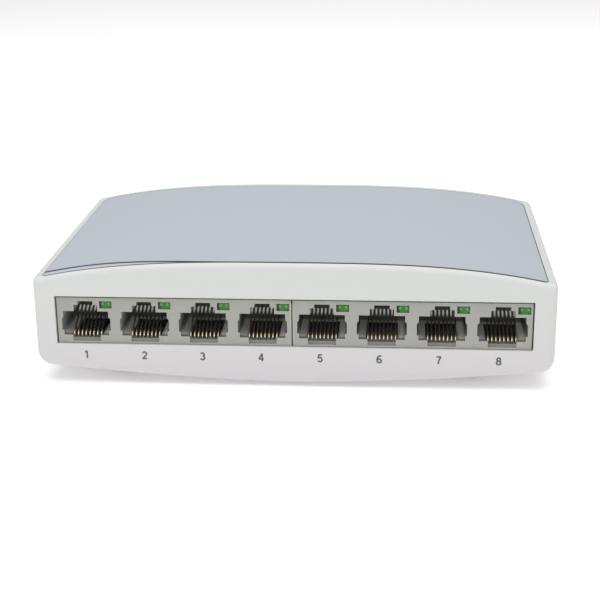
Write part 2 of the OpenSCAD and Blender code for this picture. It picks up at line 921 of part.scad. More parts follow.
module inlet_pin() {
    root = inlet_y - inlet_bore_d;
    color(TIN) {
        translate([inlet_x, root - SMALL, inlet_z])
            rotate([-90, 0, 0])
                cylinder(r = inlet_pin_d / 2, h = inlet_pin_len + SMALL);
        translate([inlet_x, inlet_y - inlet_core_y, inlet_z])
            rotate([-90, 0, 0])
                cylinder(r = inlet_core_r, h = inlet_core_y - inlet_bore_d);
    }
}

// The sleeve spring: hinged at its inner end, bowed up into the bore
module inlet_spring() {
    line = [
        [0, 0],
        [spring_len * 0.5, spring_lift],
        [spring_len * 0.68, spring_lift],
        [spring_len, -0.1]
    ];
    color(TIN)
        translate([0, inlet_hinge_y, inlet_hinge_z])
            along_x(inlet_x, spring_w)
                bent_sheet(line, spring_t);
}

module inlet_terminals() {
    foot_z = board_z - pin_below;
    color(TIN) {
        block(pin_tag[0], pin_tag[1], foot_z, [tag_w, tag_t, inlet_z - inlet_core_r - SMALL - foot_z]);
        block(spring_tag[0], spring_tag[1], foot_z, [tag_w, tag_t, inlet_hinge_z + 0.2 - foot_z]);
        block(switch_tag[0], switch_tag[1], foot_z, [tag_t, tag_w, board_top + 3 - foot_z]);
    }
}

// ---------------------------------------------------------------- the nodes

top_cover();
top_panel();
top_film();
bottom_cover();
case_screws();
foot(-1, -1);  // foot_front_left
foot(1, -1);  // foot_front_right
foot(-1, 1);  // foot_back_left
foot(1, 1);  // foot_back_right
circuit_board();
board_screws();
socket_block(1);  // socket_block_left
socket_block(1 + PORTS_A_BLOCK);  // socket_block_right
for (p = [1:PORTS]) {
    port_contacts(p);
    port_light(p);
}
contact_tails(1);  // contact_tails_left
contact_tails(1 + PORTS_A_BLOCK);  // contact_tails_right
light_leads();
for (m = [1:4])
    magnetics(m);
magnetics_pins();
switch_chip();
switch_chip_pins();
thermal_pad();
heat_sink();
crystal();
for (i = [0:2])
    capacitor(i);
power_inductor();
regulator();
chip_resistors();
chip_capacitors();
inlet_housing();
inlet_pin();
inlet_spring();
inlet_terminals();
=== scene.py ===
"""Desktop network switch: the visible model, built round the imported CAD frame.

The file is laid out as an add-on. Each piece, or group of like pieces, has its own operator, and the sizes
and colours that a user would change are in the panel "Network switch" of the 3D view's sidebar. All lengths
are in metres, in the frame's own axes: +X to the right as the sockets are faced, +Y to the back.
"""

import json
import math

import bmesh
import bpy
from bpy.props import FloatProperty, FloatVectorProperty, IntProperty, PointerProperty
from mathutils import Matrix, Vector


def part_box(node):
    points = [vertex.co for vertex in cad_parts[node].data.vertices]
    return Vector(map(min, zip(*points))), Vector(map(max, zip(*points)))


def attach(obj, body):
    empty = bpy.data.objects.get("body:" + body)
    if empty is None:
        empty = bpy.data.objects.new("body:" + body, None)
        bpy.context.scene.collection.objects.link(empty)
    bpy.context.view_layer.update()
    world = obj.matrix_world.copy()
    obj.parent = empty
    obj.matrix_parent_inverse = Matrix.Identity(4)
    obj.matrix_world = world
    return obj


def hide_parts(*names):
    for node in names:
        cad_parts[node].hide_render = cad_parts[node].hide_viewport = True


bl_info = {
    "name": "Network switch",
    "version": (1, 0, 0),
    "blender": (4, 5, 0),
    "location": "View3D > Sidebar > Network switch",
    "description": "Builds a desktop network switch with eight sockets round its CAD frame",
    "category": "Object",
}

MM = 0.001
BODY = "switch_body"
PORTS = range(1, 9)

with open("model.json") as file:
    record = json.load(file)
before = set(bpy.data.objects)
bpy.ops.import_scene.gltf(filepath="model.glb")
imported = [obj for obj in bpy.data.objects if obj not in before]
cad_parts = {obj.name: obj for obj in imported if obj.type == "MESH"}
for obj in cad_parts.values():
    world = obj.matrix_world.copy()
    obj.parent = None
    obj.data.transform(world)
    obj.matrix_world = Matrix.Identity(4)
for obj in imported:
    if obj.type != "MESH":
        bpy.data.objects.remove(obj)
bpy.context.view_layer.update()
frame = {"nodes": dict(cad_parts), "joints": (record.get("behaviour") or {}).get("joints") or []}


# ---------------------------------------------------------------- places read from the frame

def extent(node):
    """The lowest corner, the middle and the size of a node's box."""
    low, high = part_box(node)
    return low, (low + high) / 2, high - low


def box_middle(node):
    return extent(node)[1]


COVER_LOW, COVER_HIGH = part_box("top_cover")
FACE_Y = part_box("socket_block_left")[0].y
HINGES = {joint["child"]: Vector(joint["pos_m"]) for joint in frame["joints"]}
BEND_Z = HINGES["port_1_springs"].z


# ---------------------------------------------------------------- settings

def length(name, description, default):
    """A property that holds a length in metres."""
    return FloatProperty(name=name, description=description, default=default, unit="LENGTH", precision=5)


def number(name, description, default, least, most):
    """A property that holds a plain number."""
    return FloatProperty(name=name, description=description, default=default, min=least, max=most)


def whole_number(name, description, default, least, most):
    """A property that holds a whole number."""
    return IntProperty(name=name, description=description, default=default, min=least, max=most)


def turn(name, description, default):
    """A property that holds an angle, given in degrees."""
    return FloatProperty(name=name, description=description, default=math.radians(default), subtype="ANGLE")


def colour(name, description, default):
    """A property that holds a colour, in linear light."""
    return FloatVectorProperty(
        name=name, description=description, default=default, size=3, min=0, max=1, subtype="COLOR")


class HousingSettings(bpy.types.PropertyGroup):
    """The white housing: a domed top, upright sides and a bowed underside."""

    width: length("Width", "Across the two sides", COVER_HIGH.x - COVER_LOW.x)
    depth: length("Depth", "From the front face to the back", COVER_HIGH.y - COVER_LOW.y)
    crown: length("Crown", "Height of the top at its middle", COVER_HIGH.z)
    crown_rise: length("Crown rise", "How far the dome falls to the shoulders", 4.75 * MM)
    crown_power: number("Crown power", "Flatness of the dome", 3.04, 1.5, 5)
    belly: length("Belly", "Height of the underside at its middle", COVER_LOW.z)
    belly_rise: length("Belly rise", "How far the underside rises to the corners", 3.7 * MM)
    belly_power: number("Belly power", "Flatness of the underside", 1.7, 1.5, 5)
    shoulder_radius: length("Shoulder radius", "Between the top and the sides", 1 * MM)
    corner_radius: length("Corner radius", "Between the underside and the sides", 4 * MM)
    edge_radius: length("Edge radius", "Round the front and back faces", 1.8 * MM)
    back_corner: length("Back corner radius", "Of the two back corners in plan", 4 * MM)
    wall: length("Wall", "Thickness of the walls", 2.2 * MM)
    lip: length("Edge break", "Rounding of the small sharp edges", 0.16 * MM)
    post_radius: length("Post radius", "Of the four screw posts inside", 3.3 * MM)
    post_foot: length("Post foot", "Height of the posts' lower ends", 8.4 * MM)
    vent_pitch: length("Vent pitch", "Between neighbouring vents in the back", 4 * MM)
    vent_width: length("Vent width", "Of one vent", 1.8 * MM)
    vent_foot: length("Vent foot", "Height of the vents' lower ends", 15 * MM)
    vent_head: length("Vent head", "Height of the vents' upper ends", 23 * MM)
    first_vent: length("First vent", "From the middle of the back, towards -X", 50 * MM)
    vents: whole_number("Vents", "In the back", 10, 0, 24)
    curve_steps: whole_number("Curve steps", "Faces along half of the dome", 60, 8, 200)
    round_steps: whole_number("Round steps", "Faces round one rounded edge", 10, 2, 32)


class PanelSettings(bpy.types.PropertyGroup):
    """The silver-blue panel and the film on it."""

    rim_side: length("Side rim", "White rim at each side", 2.3 * MM)
    rim_front: length("Front rim", "White rim at the front", 1.2 * MM)
    rim_back: length("Back rim", "White rim at the back", 3.4 * MM)
    pocket_depth: length("Pocket depth", "Below the dome", 1 * MM)
    plate: length("Plate thickness", "Of the panel itself", 0.65 * MM)
    film: length("Film thickness", "Of the film on the panel", 0.25 * MM)
    gap: length("Gap", "Round the panel in its pocket", 0.15 * MM)
    lean: length("Lean", "How far the panel lies to the left of its pocket's middle", 0.1 * MM)
    front_corner: length("Front corners", "Radius of the panel's front corners in plan", 1.2 * MM)
    back_corner: length("Back corners", "Radius of the panel's back corners in plan", 4.5 * MM)
    film_back: length("Film shortfall", "From the panel's front edge to the film's", 0.5 * MM)
    film_sweep: length("Film sweep", "How much further back the film's edge is at its left end", 3.4 * MM)
    sweep_start: length("Sweep start", "Where the sweep starts, to the left of the middle", 14 * MM)
    sweep_end: length("Sweep end", "Where the sweep is complete", 55 * MM)


class SocketSettings(bpy.types.PropertyGroup):
    """The socket blocks, their contacts, lights and printed numbers."""

    edge: length("Edge break", "Rounding of the socket mouths", 0.2 * MM)
    wire: length("Wire radius", "Of one contact", 0.21 * MM)
    bend: length("Bend radius", "Of a contact's front bend", 0.6 * MM)
    rise: turn("Rise", "Of a contact's free leg", 29)
    reach: length("Reach", "Length of a contact's free leg", 9.2 * MM)
    pitch: length("Contact pitch", "Between neighbouring contacts", 1.016 * MM)
    wires: whole_number("Contacts", "Contacts in each socket", 8, 4, 10)
    digit_height: length("Digit height", "Of the printed port numbers", 2.15 * MM)
    digit_weight: number("Digit weight", "Stroke over height", 0.19, 0.05, 0.3)
    digit_drop: length("Digit drop", "From the opening's lower edge to the digits' middle", 3 * MM)
    digit_shift: length("Digit shift", "Of the first digit, to the left of its socket's middle", 0.15 * MM)
    digit_drift: length("Digit drift", "How much more the last digit is shifted", 0.6 * MM)


class FinishSettings(bpy.types.PropertyGroup):
    """The colours of the finishes."""

    housing: colour("Housing", "White housing plastic", (0.642, 0.647, 0.639))
    panel: colour("Panel", "Edge of the silver-blue panel", (0.58, 0.625, 0.68))
    film: colour("Film", "Silver-blue film", (0.51, 0.556, 0.606))
    socket: colour("Socket", "Grey socket plastic", (0.356, 0.361, 0.329))
    gold: colour("Gold", "Plating of the contacts", (0.86, 0.69, 0.36))
    lens: colour("Lens", "Green light window", (0.032, 0.15, 0.022))
    ink: colour("Ink", "Printed numbers", (0.07, 0.074, 0.085))
    board: colour("Board", "Solder mask", (0.015, 0.11, 0.045))


class StageSettings(bpy.types.PropertyGroup):
    """The camera, the floor and the studio light."""

    camera_place: FloatVectorProperty(
        name="Camera place", description="Where the camera stands", default=(0.0268, -0.3590, 0.1336),
        size=3, subtype="TRANSLATION", unit="LENGTH")
    yaw: turn("Yaw", "Camera's turn to the left", 4.441)
    pitch: turn("Pitch", "Camera's tilt down", 19.019)
    roll: turn("Roll", "Camera's lean", 0.64)
    lens: number("Lens", "Focal length on a 36 mm frame", 79.85, 20, 200)
    world_strength: number("Surround", "Brightness of the white surround", 0.47, 0, 10)
    top_power: number("Top light", "Watts of the light above", 7.5, 0, 100)
    front_power: number("Front light", "Watts of the light in front", 1.2, 0, 100)


SETTINGS = {
    "switch_housing": HousingSettings,
    "switch_panel": PanelSettings,
    "switch_socket": SocketSettings,
    "switch_finish": FinishSettings,
    "switch_stage": StageSettings,
}


# ---------------------------------------------------------------- shader maths

def binary(operation, swapped=False):
    """An operator's method, which adds the Math node that does it."""
    def method(self, other):
        return self.math(operation, other, self) if swapped else self.math(operation, self, other)
    return method


class Value:
    """An output socket that adds a Math node when it is used in an expression."""

    def __init__(self, tree, socket):
        self.tree = tree
        self.socket = socket

    def math(self, operation, *values, clamp=False):
        node = self.tree.nodes.new("ShaderNodeMath")
        node.operation = operation
        node.use_clamp = clamp
        for place, value in zip(node.inputs, values):
            feed(self.tree, place, value)
        return Value(self.tree, node.outputs[0])

    def __abs__(self):
        return self.math("ABSOLUTE", self)

    __add__ = binary("ADD")
    __radd__ = binary("ADD", swapped=True)
    __sub__ = binary("SUBTRACT")
    __rsub__ = binary("SUBTRACT", swapped=True)
    __mul__ = binary("MULTIPLY")
    __rmul__ = binary("MULTIPLY", swapped=True)
    __truediv__ = binary("DIVIDE")
    __gt__ = binary("GREATER_THAN")

    def clamped(self):
        return self.math("ADD", self, 0, clamp=True)

    def part(self):
        """The fraction of the value."""
        return self.math("FRACT", self)


def feed(tree, socket, value):
    """Links a value to a socket, or sets the socket to it."""
    if isinstance(value, Value):
        tree.links.new(value.socket, socket)
    elif isinstance(value, bpy.types.NodeSocket):
        tree.links.new(value, socket)
    else:
        socket.default_value = value


def add_node(tree, kind, settings=None, inputs=None, output=0):
    """Adds a node of any type: its settings first, then its sockets. It returns one output as a Value."""
    node = tree.nodes.new(kind)
    for name, value in (settings or {}).items():
        if name == "stops":
            set_stops(node.color_ramp, value)
        else:
            setattr(node, name, value)
    for name, value in (inputs or {}).items():
        feed(tree, node.inputs[name], value)
    return Value(tree, node.outputs[output])


def set_stops(ramp, stops):
    while len(ramp.elements) < len(stops):
        ramp.elements.new(1)
    for element, (place, tint) in zip(ramp.elements, stops):
        element.position = place
        element.color = (*tint, 1)


def opaque(value):
    """A colour of three numbers gets a full alpha; anything else stays as it is."""
    return (*value, 1) if isinstance(value, tuple) and len(value) == 3 else value


class Nodes:
    """What materials and geometry trees share: nodes that are added to self.tree in one call."""

    def node(self, kind, settings=None, inputs=None, output=0):
        return add_node(self.tree, kind, settings, inputs, output)

    def split(self, vector):
        """The three parts of a vector."""
        node = self.tree.nodes.new("ShaderNodeSeparateXYZ")
        feed(self.tree, node.inputs[0], vector)
        return [Value(self.tree, out) for out in node.outputs]


class Finish(Nodes):
    """A material under construction: one Principled shader, fed by patterns on object coordinates."""

    def __init__(self, name, **constants):
        self.material = bpy.data.materials.new(name)
        self.material.use_nodes = True
        self.tree = self.material.node_tree
        self.shader = self.tree.nodes["Principled BSDF"]
        coordinates = self.tree.nodes.new("ShaderNodeTexCoord")
        self.place = Value(self.tree, coordinates.outputs["Object"])
        for name, value in constants.items():
            self.set(name.replace("_", " ").title().replace("Ior", "IOR"), value)

    def set(self, socket, value):
        feed(self.tree, self.shader.inputs[socket], opaque(value))

    def noise(self, size, detail=2, rough=0.5, stretch=(1, 1, 1)):
        """Soft random blotches of about the given size in metres."""
        place = self.node("ShaderNodeMapping", None, {"Vector": self.place, "Scale": stretch})
        inputs = {"Vector": place, "Scale": 1 / size, "Detail": detail, "Roughness": rough}
        return self.node("ShaderNodeTexNoise", None, inputs)

    def cells(self, size, output=0):
        """Distance to scattered points about the given size apart."""
        return self.node("ShaderNodeTexVoronoi", None, {"Vector": self.place, "Scale": 1 / size}, output)

    def axes(self):
        """The object coordinates as three values."""
        return self.split(self.place)

    def blend(self, amount, first, second):
        """A colour between two colours."""
        node = self.tree.nodes.new("ShaderNodeMix")
        node.data_type = "RGBA"
        feed(self.tree, node.inputs["Factor"], amount)
        for name, value in (("A", first), ("B", second)):
            socket = next(s for s in node.inputs if s.name == name and s.type == "RGBA")
            feed(self.tree, socket, opaque(value))
        return Value(self.tree, next(s for s in node.outputs if s.type == "RGBA"))

    def end(self, amount, tones, roughness, height, depth):
        """Two tones blended by an amount, the gloss, and a relief of the given depth in metres."""
        self.set("Base Color", self.blend(amount, *tones))
        self.set("Roughness", roughness)
        inputs = {"Height": height, "Distance": depth, "Strength": 1.0}
        self.set("Normal", self.node("ShaderNodeBump", None, inputs))
        return self.material


BLACK = (0.0, 0.0, 0.0)
# Housing tints by height: painted shade, darker and pinker, at the foot, and painted light, a little greener,
# at the top.
FOOT_SHADE_TINT = (0.972, 0.932, 0.975)
HEAD_LIGHT_TINT = (0.985, 1.005, 0.98)
FOOT_SHADE_Z, FOOT_SHADE_FADE = 3 * MM, 20 * MM
# Dark lines along the front edges of the panel and the film; the panel's line is painted shade for the groove
# at the rim.
EDGE_LINE = (0.12, 0.12, 0.145)
PANEL_SHADE_WIDTH = 1.6 * MM
FILM_LINE_WIDTH = 0.5 * MM
LINE_BLUR = 0.2 * MM
# Painted light on the comb floor under the contacts, and painted shade behind the sockets' face: at the mouth,
# growing with depth, and on the lip.
TRENCH_LIGHT = (0.66, 0.67, 0.62)
TRENCH_TOP, TRENCH_FADE = 0.9 * MM, 0.6 * MM
MOUTH_SHADE, DEPTH_SHADE, LIP_SHADE = 0.1, 0.45, 0.4
WIRE_BEND = (0.92, 0.88, 0.78)
# Contact wire: painted shade along the leg, and a painted highlight with a faint glow at the free end.
WIRE_LEG_SHADE = (0.09, 0.085, 0.072)
WIRE_END_HIGHLIGHT = (0.85, 0.84, 0.80)
WIRE_GLOW = (0.16, 0.16, 0.15)
WIRE_END_Z, WIRE_END_FADE = 17 * MM, 0.6 * MM
GOLD_FROM, GOLD_FADE = 0.25 * MM, 0.3 * MM
BARE_TOP = (0.7, 0.7, 0.72)
FLOOR_TINTS = ((0.93, 0.93, 0.93), (0.95, 0.95, 0.95))
FLOOR_GLOW = (1.0, 0.965, 0.975)
FLOOR_GLOW_STRENGTH = 0.24


def behind_face(finish, start, end):
    """A value that goes from 0 to 1 between two distances behind the sockets' face."""
    _, y, _ = finish.axes()
    return ((y - (FACE_Y + start)) / (end - start)).clamped()


def shade(tint, factor):
    """A colour made lighter or darker."""
    return tuple(min(1.0, c * factor) for c in tint)


def two_tones(tint, dark, light):
    """A darker and a lighter colour for a pattern to go between."""
    return shade(tint, dark), shade(tint, light)


# ---------------------------------------------------------------- finishes

def satin_white(name, tint):
    """Housing plastic: fine spark-eroded texture, uneven gloss, painted shade at the foot and painted light on
    top.
    """
    finish = Finish(name, ior=1.5, specular_ior_level=0.4)
    _, _, z = finish.axes()
    flow = finish.noise(45 * MM, detail=3)
    grain = finish.noise(0.35 * MM, detail=3, rough=0.6)
    rubbed = finish.noise(14 * MM, detail=4, rough=0.55)
    # Painted shade towards the foot blends into painted light towards the top.
    height = ((z - FOOT_SHADE_Z) / FOOT_SHADE_FADE + 0.1 * (flow - 0.5)).clamped()
    foot, head = (tuple(c * f for c, f in zip(tint, factors)) for factors in (FOOT_SHADE_TINT, HEAD_LIGHT_TINT))
    return finish.end(height, (foot, head), 0.40 + 0.07 * rubbed + 0.05 * grain, grain, depth=0.012 * MM)


def metallic_film(name, tint, roughness, line):
    """Silver-blue coating: very fine flakes under a satin surface, with a dark line along its front edge."""
    finish = Finish(name, ior=1.5, specular_ior_level=0.5)
    flakes = finish.cells(0.22 * MM, "Color")
    cloud = finish.noise(30 * MM, detail=3)
    grain = finish.noise(0.3 * MM)
    flake = finish.node("ShaderNodeSeparateColor", None, {"Color": flakes})
    tone = finish.blend(cloud, *two_tones(tint, 0.985, 1.015))
    tone = finish.blend(flake * 0.35, tone, shade(tint, 1.14))
    finish.set("Metallic", 0.22 + 0.16 * flake)
    return finish.end(line(finish), (tone, EDGE_LINE), roughness + 0.08 * grain, grain, depth=0.006 * MM)


def panel_shade_line(finish):
    """The painted shade line along the panel's front edge, where it meets the white rim: the groove's shadow.
    """
    p = bpy.context.scene.switch_panel
    _, y, _ = finish.axes()
    front = COVER_LOW.y + p.rim_front + p.gap
    return ((front + PANEL_SHADE_WIDTH - y) / LINE_BLUR).clamped()


def eased(t):
    """A smooth rise from 0 to 1, for a number or a Value."""
    return t * t * (3 - 2 * t)


def film_line(finish):
    """The dark line along the film's front edge."""
    p = bpy.context.scene.switch_panel
    x, y, _ = finish.axes()
    front = COVER_LOW.y + p.rim_front + p.gap + p.film_back
    t = ((-1 * x - p.sweep_start) / (p.sweep_end - p.sweep_start)).clamped()
    edge = front + p.film_sweep * eased(t)
    return ((edge + FILM_LINE_WIDTH - y) / LINE_BLUR).clamped()


def socket_plastic(name, tint):
    """Moulded grey plastic: painted shade behind the face, deepening inside; painted light on the comb floor.
    """
    finish = Finish(name, ior=1.52, specular_ior_level=0.35)
    streaks = finish.noise(1.6 * MM, detail=3, stretch=(0.35, 1, 1.4))
    specks = finish.noise(0.25 * MM)
    pits = finish.cells(0.9 * MM)
    _, _, z = finish.axes()
    # Painted shade: darker behind the face, more so deeper in, and on the lip under the contacts.
    inside = behind_face(finish, start=0.15 * MM, end=0.4 * MM)
    deep = behind_face(finish, start=0.4 * MM, end=10 * MM)
    trench = behind_face(finish, start=1.2 * MM, end=2.2 * MM)
    low = ((BEND_Z + TRENCH_TOP - z) / TRENCH_FADE).clamped()
    above = inside * (1 - low) * (MOUTH_SHADE + DEPTH_SHADE * deep)
    lip = inside * low * (1 - trench) * LIP_SHADE
    tone = finish.blend(streaks, *two_tones(tint, 0.95, 1.06))
    # Painted light: a paler patch on the comb floor under the contacts.
    tone = finish.blend(low * trench, tone, TRENCH_LIGHT)
    roughness = 0.42 + 0.1 * streaks + 0.06 * specks
    return finish.end(above + lip, (tone, BLACK), roughness, specks * 0.7 + pits * 0.3, depth=0.01 * MM)


def contact_wire(name, gold):
    """Spring wire: gold over the bend's crown, pale below, painted shade on the leg, painted highlight and glow
    at the end.
    """
    finish = Finish(name)
    _, _, z = finish.axes()
    lines = finish.noise(0.15 * MM, stretch=(1, 0.25, 0.25))
    crown = ((z - (BEND_Z + GOLD_FROM)) / GOLD_FADE).clamped()
    # Painted shade along the leg; a painted highlight and a faint glow at the free end.
    leg = behind_face(finish, start=1.7 * MM, end=2.3 * MM)
    end = ((z - WIRE_END_Z) / WIRE_END_FADE).clamped()
    front = finish.blend(crown, WIRE_BEND, gold)
    painted_shading = finish.blend(leg, front, WIRE_LEG_SHADE)
    finish.set("Metallic", 1 - 0.4 * leg - 0.6 * end)
    finish.set("Emission Color", finish.blend(end, BLACK, WIRE_GLOW))
    finish.set("Emission Strength", 1.0)
    return finish.end(end, (painted_shading, WIRE_END_HIGHLIGHT), 0.28 + 0.14 * lines + 0.2 * end, lines, depth=0.004 * MM)


def plated_metal(name, tint, roughness, drawn=(1, 1, 1)):
    """Plated wire or sheet: lines from drawing along its length, and uneven plating."""
    finish = Finish(name, metallic=1.0)
    lines = finish.noise(0.18 * MM, stretch=drawn)
    patches = finish.noise(2.5 * MM)
    return finish.end(patches, two_tones(tint, 0.88, 1.08), roughness + 0.12 * lines, lines, depth=0.004 * MM)


# Places on a window run from -1 to 1 across it and up it.
SHADE_UP_TO, SHADE_CONTRAST = -0.38, 3.5
GLINT_SHIFT, GLINT_ACROSS, GLINT_UP = 0.05, 0.5, 0.35
GLINT_NARROWNESS, GLINT_FLATNESS = 4, 1.9


def light_window(name, tint, pitch, first, size):
    """A green window over a lamp: painted shade at its left end and corners, with a painted glint towards each
    side.
    """
    finish = Finish(name, ior=1.49, specular_ior_level=0.35, coat_weight=0.08, coat_roughness=0.1)
    x, _, z = finish.axes()
    across = (((x - (first.x - pitch / 2)) / pitch).part() - 0.5) * (2 * pitch / size.x)
    up = (z - first.z) * (2 / size.z)
    # Painted shade at the left end and in the corners.
    left = ((SHADE_UP_TO - across) * SHADE_CONTRAST).clamped()
    corners = (abs(across) * abs(up) * 1.6 - 0.5).clamped()
    side = (abs(across - GLINT_SHIFT) - GLINT_ACROSS) * GLINT_NARROWNESS
    height = (up - GLINT_UP) * GLINT_FLATNESS
    glint = (1 - side * side - height * height).clamped()
    ripple = finish.noise(0.5 * MM)
    base = finish.blend((left + corners).clamped(), tint, shade(tint, 0.2))
    tones = (base, shade(tint, 3.2))
    return finish.end(glint * (0.55 + 0.5 * ripple), tones, 0.25 + 0.1 * ripple, ripple, depth=0.01 * MM)


def printed_ink(name, tint):
    """Pad-printed ink: slightly uneven cover."""
    finish = Finish(name)
    cover = finish.noise(0.2 * MM)
    return finish.end(cover, two_tones(tint, 0.9, 1.35), 0.45 + 0.15 * cover, cover, depth=0.003 * MM)


def rubber(name, tint):
    """Moulded rubber with a dull, dusty bloom."""
    finish = Finish(name, specular_ior_level=0.3)
    bloom = finish.noise(3 * MM, detail=4, rough=0.6)
    grain = finish.noise(0.25 * MM)
    return finish.end(bloom, two_tones(tint, 0.8, 1.5), 0.72 + 0.15 * bloom, grain, depth=0.02 * MM)


def solder_mask(name, tint):
    """Circuit board: tracks stand a little proud under the mask, over a faint glass weave."""
    finish = Finish(name, ior=1.5, coat_weight=0.3, coat_roughness=0.15)
    track = finish.node("ShaderNodeTexBrick", {"offset": 0.5}, {
        "Vector": finish.place, "Scale": 260.0, "Color1": (1, 1, 1, 1), "Color2": (0.6, 0.6, 0.6, 1),
        "Mortar": (0, 0, 0, 1), "Mortar Size": 0.04, "Brick Width": 1.4, "Row Height": 0.3})
    weave = finish.node("ShaderNodeTexChecker", None, {"Vector": finish.place, "Scale": 900.0}, "Fac")
    height = finish.node("ShaderNodeSeparateColor", None, {"Color": track})
    tones = two_tones(tint, 0.75, 1.35)
    return finish.end(height, tones, 0.28 + 0.1 * weave, height * 0.8 + weave * 0.2, depth=0.03 * MM)


def epoxy(name, tint):
    """Moulded black package: fine grit with a dull sheen."""
    finish = Finish(name, specular_ior_level=0.4)
    grit = finish.noise(0.18 * MM, detail=3, rough=0.7)
    cloud = finish.noise(4 * MM)
    return finish.end(cloud, two_tones(tint, 0.8, 1.4), 0.55 + 0.2 * grit, grit, depth=0.012 * MM)


def can_sleeve(name, tint):
    """Capacitor sleeve: shrunk film with a bare metal top."""
    finish = Finish(name, coat_weight=0.4, coat_roughness=0.2)
    _, _, z = finish.axes()
    creases = finish.noise(1.2 * MM, detail=3, stretch=(1, 1, 0.3))
    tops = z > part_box("capacitor_1")[1].z - 0.3 * MM
    film = finish.blend(creases, *two_tones(tint, 0.8, 1.5))
    finish.set("Metallic", tops)
    return finish.end(tops, (film, BARE_TOP), 0.3 + 0.15 * creases, creases, depth=0.02 * MM)


def anodised(name, tint):
    """Extruded aluminium with die lines along its fins."""
    finish = Finish(name, metallic=1.0)
    lines = finish.noise(0.2 * MM, stretch=(1, 0.06, 1))
    return finish.end(lines, two_tones(tint, 0.9, 1.06), 0.36 + 0.14 * lines, lines, depth=0.01 * MM)


def studio_floor(name):
    """A pale, matt floor with a barely visible tooth."""
    finish = Finish(name)
    tooth = finish.noise(1.5 * MM)
    finish.set("Emission Color", FLOOR_GLOW)
    finish.set("Emission Strength", FLOOR_GLOW_STRENGTH)
    return finish.end(tooth, FLOOR_TINTS, 0.85 + 0.1 * tooth, tooth, depth=0.02 * MM)


FINISHES = {}


def finish(name):
    """The finished material of that name, made once."""
    if name not in FINISHES:
        FINISHES[name] = FINISH_MAKERS[name](lambda key: tuple(getattr(bpy.context.scene.switch_finish, key)))
    return FINISHES[name]


def window_finish(tint):
    _, first, size = extent("port_1_light")
    pitch = box_middle("port_2_light").x - first.x
    return light_window("green window", tint("lens"), pitch, first, size)


FINISH_MAKERS = {
    "housing": lambda tint: satin_white("white housing plastic", tint("housing")),
    "base": lambda tint: satin_white("white base plastic", shade(tint("housing"), 0.97)),
    "panel": lambda tint: metallic_film("panel", tint("panel"), 0.42, line=panel_shade_line),
    "film": lambda tint: metallic_film("silver-blue film", tint("film"), 0.40, line=film_line),
    "socket": lambda tint: socket_plastic("grey socket plastic", tint("socket")),
    # A paler copy of the socket plastic on the rounded face edges: a painted highlight.
    "socket_edge_highlight": lambda tint: socket_plastic("socket's worn edge", (0.56, 0.53, 0.46)),
    "contact": lambda tint: contact_wire("gold-flashed wire", tint("gold")),
    "tin": lambda tint: plated_metal("tinned metal", (0.72, 0.72, 0.70), 0.32),
    "zinc": lambda tint: plated_metal("zinc-plated steel", (0.60, 0.61, 0.63), 0.34),
    "can": lambda tint: plated_metal("drawn steel can", (0.66, 0.66, 0.67), 0.26, (1, 1, 0.2)),
    "window": window_finish,
    "ink": lambda tint: printed_ink("grey ink", tint("ink")),
    "rubber": lambda tint: rubber("black rubber", (0.022, 0.022, 0.023)),
    "pad": lambda tint: rubber("thermal pad", (0.30, 0.34, 0.40)),
    "board": lambda tint: solder_mask("green solder mask", tint("board")),
    "epoxy": lambda tint: epoxy("black epoxy", (0.018, 0.018, 0.019)),
    "inlet": lambda tint: epoxy("black inlet plastic", (0.012, 0.012, 0.013)),
    "ceramic": lambda tint: epoxy("fired ceramic", (0.33, 0.23, 0.13)),
    "sleeve": lambda tint: can_sleeve("capacitor sleeve", (0.012, 0.016, 0.045)),
    "sink": lambda tint: anodised("extruded aluminium", (0.66, 0.67, 0.69)),
}


# ---------------------------------------------------------------- mesh helpers

WELD = 0.002 * MM
SEAM = 0.001 * MM
FLAT = math.radians(0.3)
SHARP = math.radians(35)
IN_FACE = 0.01 * MM


def add_object(name, data):
    obj = bpy.data.objects.new(name, data)
    bpy.context.scene.collection.objects.link(obj)
    return obj


def from_points(name, points, faces):
    mesh = bpy.data.meshes.new(name)
    mesh.from_pydata([tuple(p) for p in points], [], faces)
    mesh.update()
    return add_object(name, mesh)


def bake(obj):
    """Turns the object's modifiers into a plain mesh."""
    graph = bpy.context.evaluated_depsgraph_get()
    real = obj.evaluated_get(graph)
    mesh = bpy.data.meshes.new_from_object(real, preserve_all_data_layers=True, depsgraph=graph)
    old = obj.data
    obj.modifiers.clear()
    obj.data = mesh
    mesh.name = obj.name
    bpy.data.meshes.remove(old)
    return obj


def combine(target, other, operation):
    """Joins, cuts or keeps the overlap of two closed solids, and removes the second one."""
    modifier = target.modifiers.new("shape", "BOOLEAN")
    modifier.solver = "EXACT"
    modifier.operation = operation
    modifier.object = other
    bake(target)
    bpy.data.objects.remove(other)
    if not target.data.polygons:
        raise RuntimeError(f"{target.name} came out empty")
    return target


def boxes(name, corners):
    """One object with a box between each pair of opposite corners."""
    points, faces = [], []
    for low, high in corners:
        start = len(points)
        points += [(x, y, z) for x in (low[0], high[0]) for y in (low[1], high[1]) for z in (low[2], high[2])]
        quads = ((0, 1, 3, 2), (4, 6, 7, 5), (0, 4, 5, 1), (2, 3, 7, 6), (0, 2, 6, 4), (1, 5, 7, 3))
        faces += [tuple(start + i for i in quad) for quad in quads]
    return from_points(name, points, faces)


def prism(name, outline, low, high, place):
    """A closed solid with the given outline; place turns (a, b, height) into a point."""
    n = len(outline)
    points = [place(a, b, h) for h in (low, high) for a, b in outline]
    faces = [tuple(range(n)), tuple(range(2 * n - 1, n - 1, -1))]
    faces += [(i, i + n, (i + 1) % n + n, (i + 1) % n) for i in range(n)]
    obj = from_points(name, points, faces)
    outward(obj)
    return obj


def along_y(a, b, h):
    return (a, h, b)


def along_z(a, b, h):
    return (a, b, h)


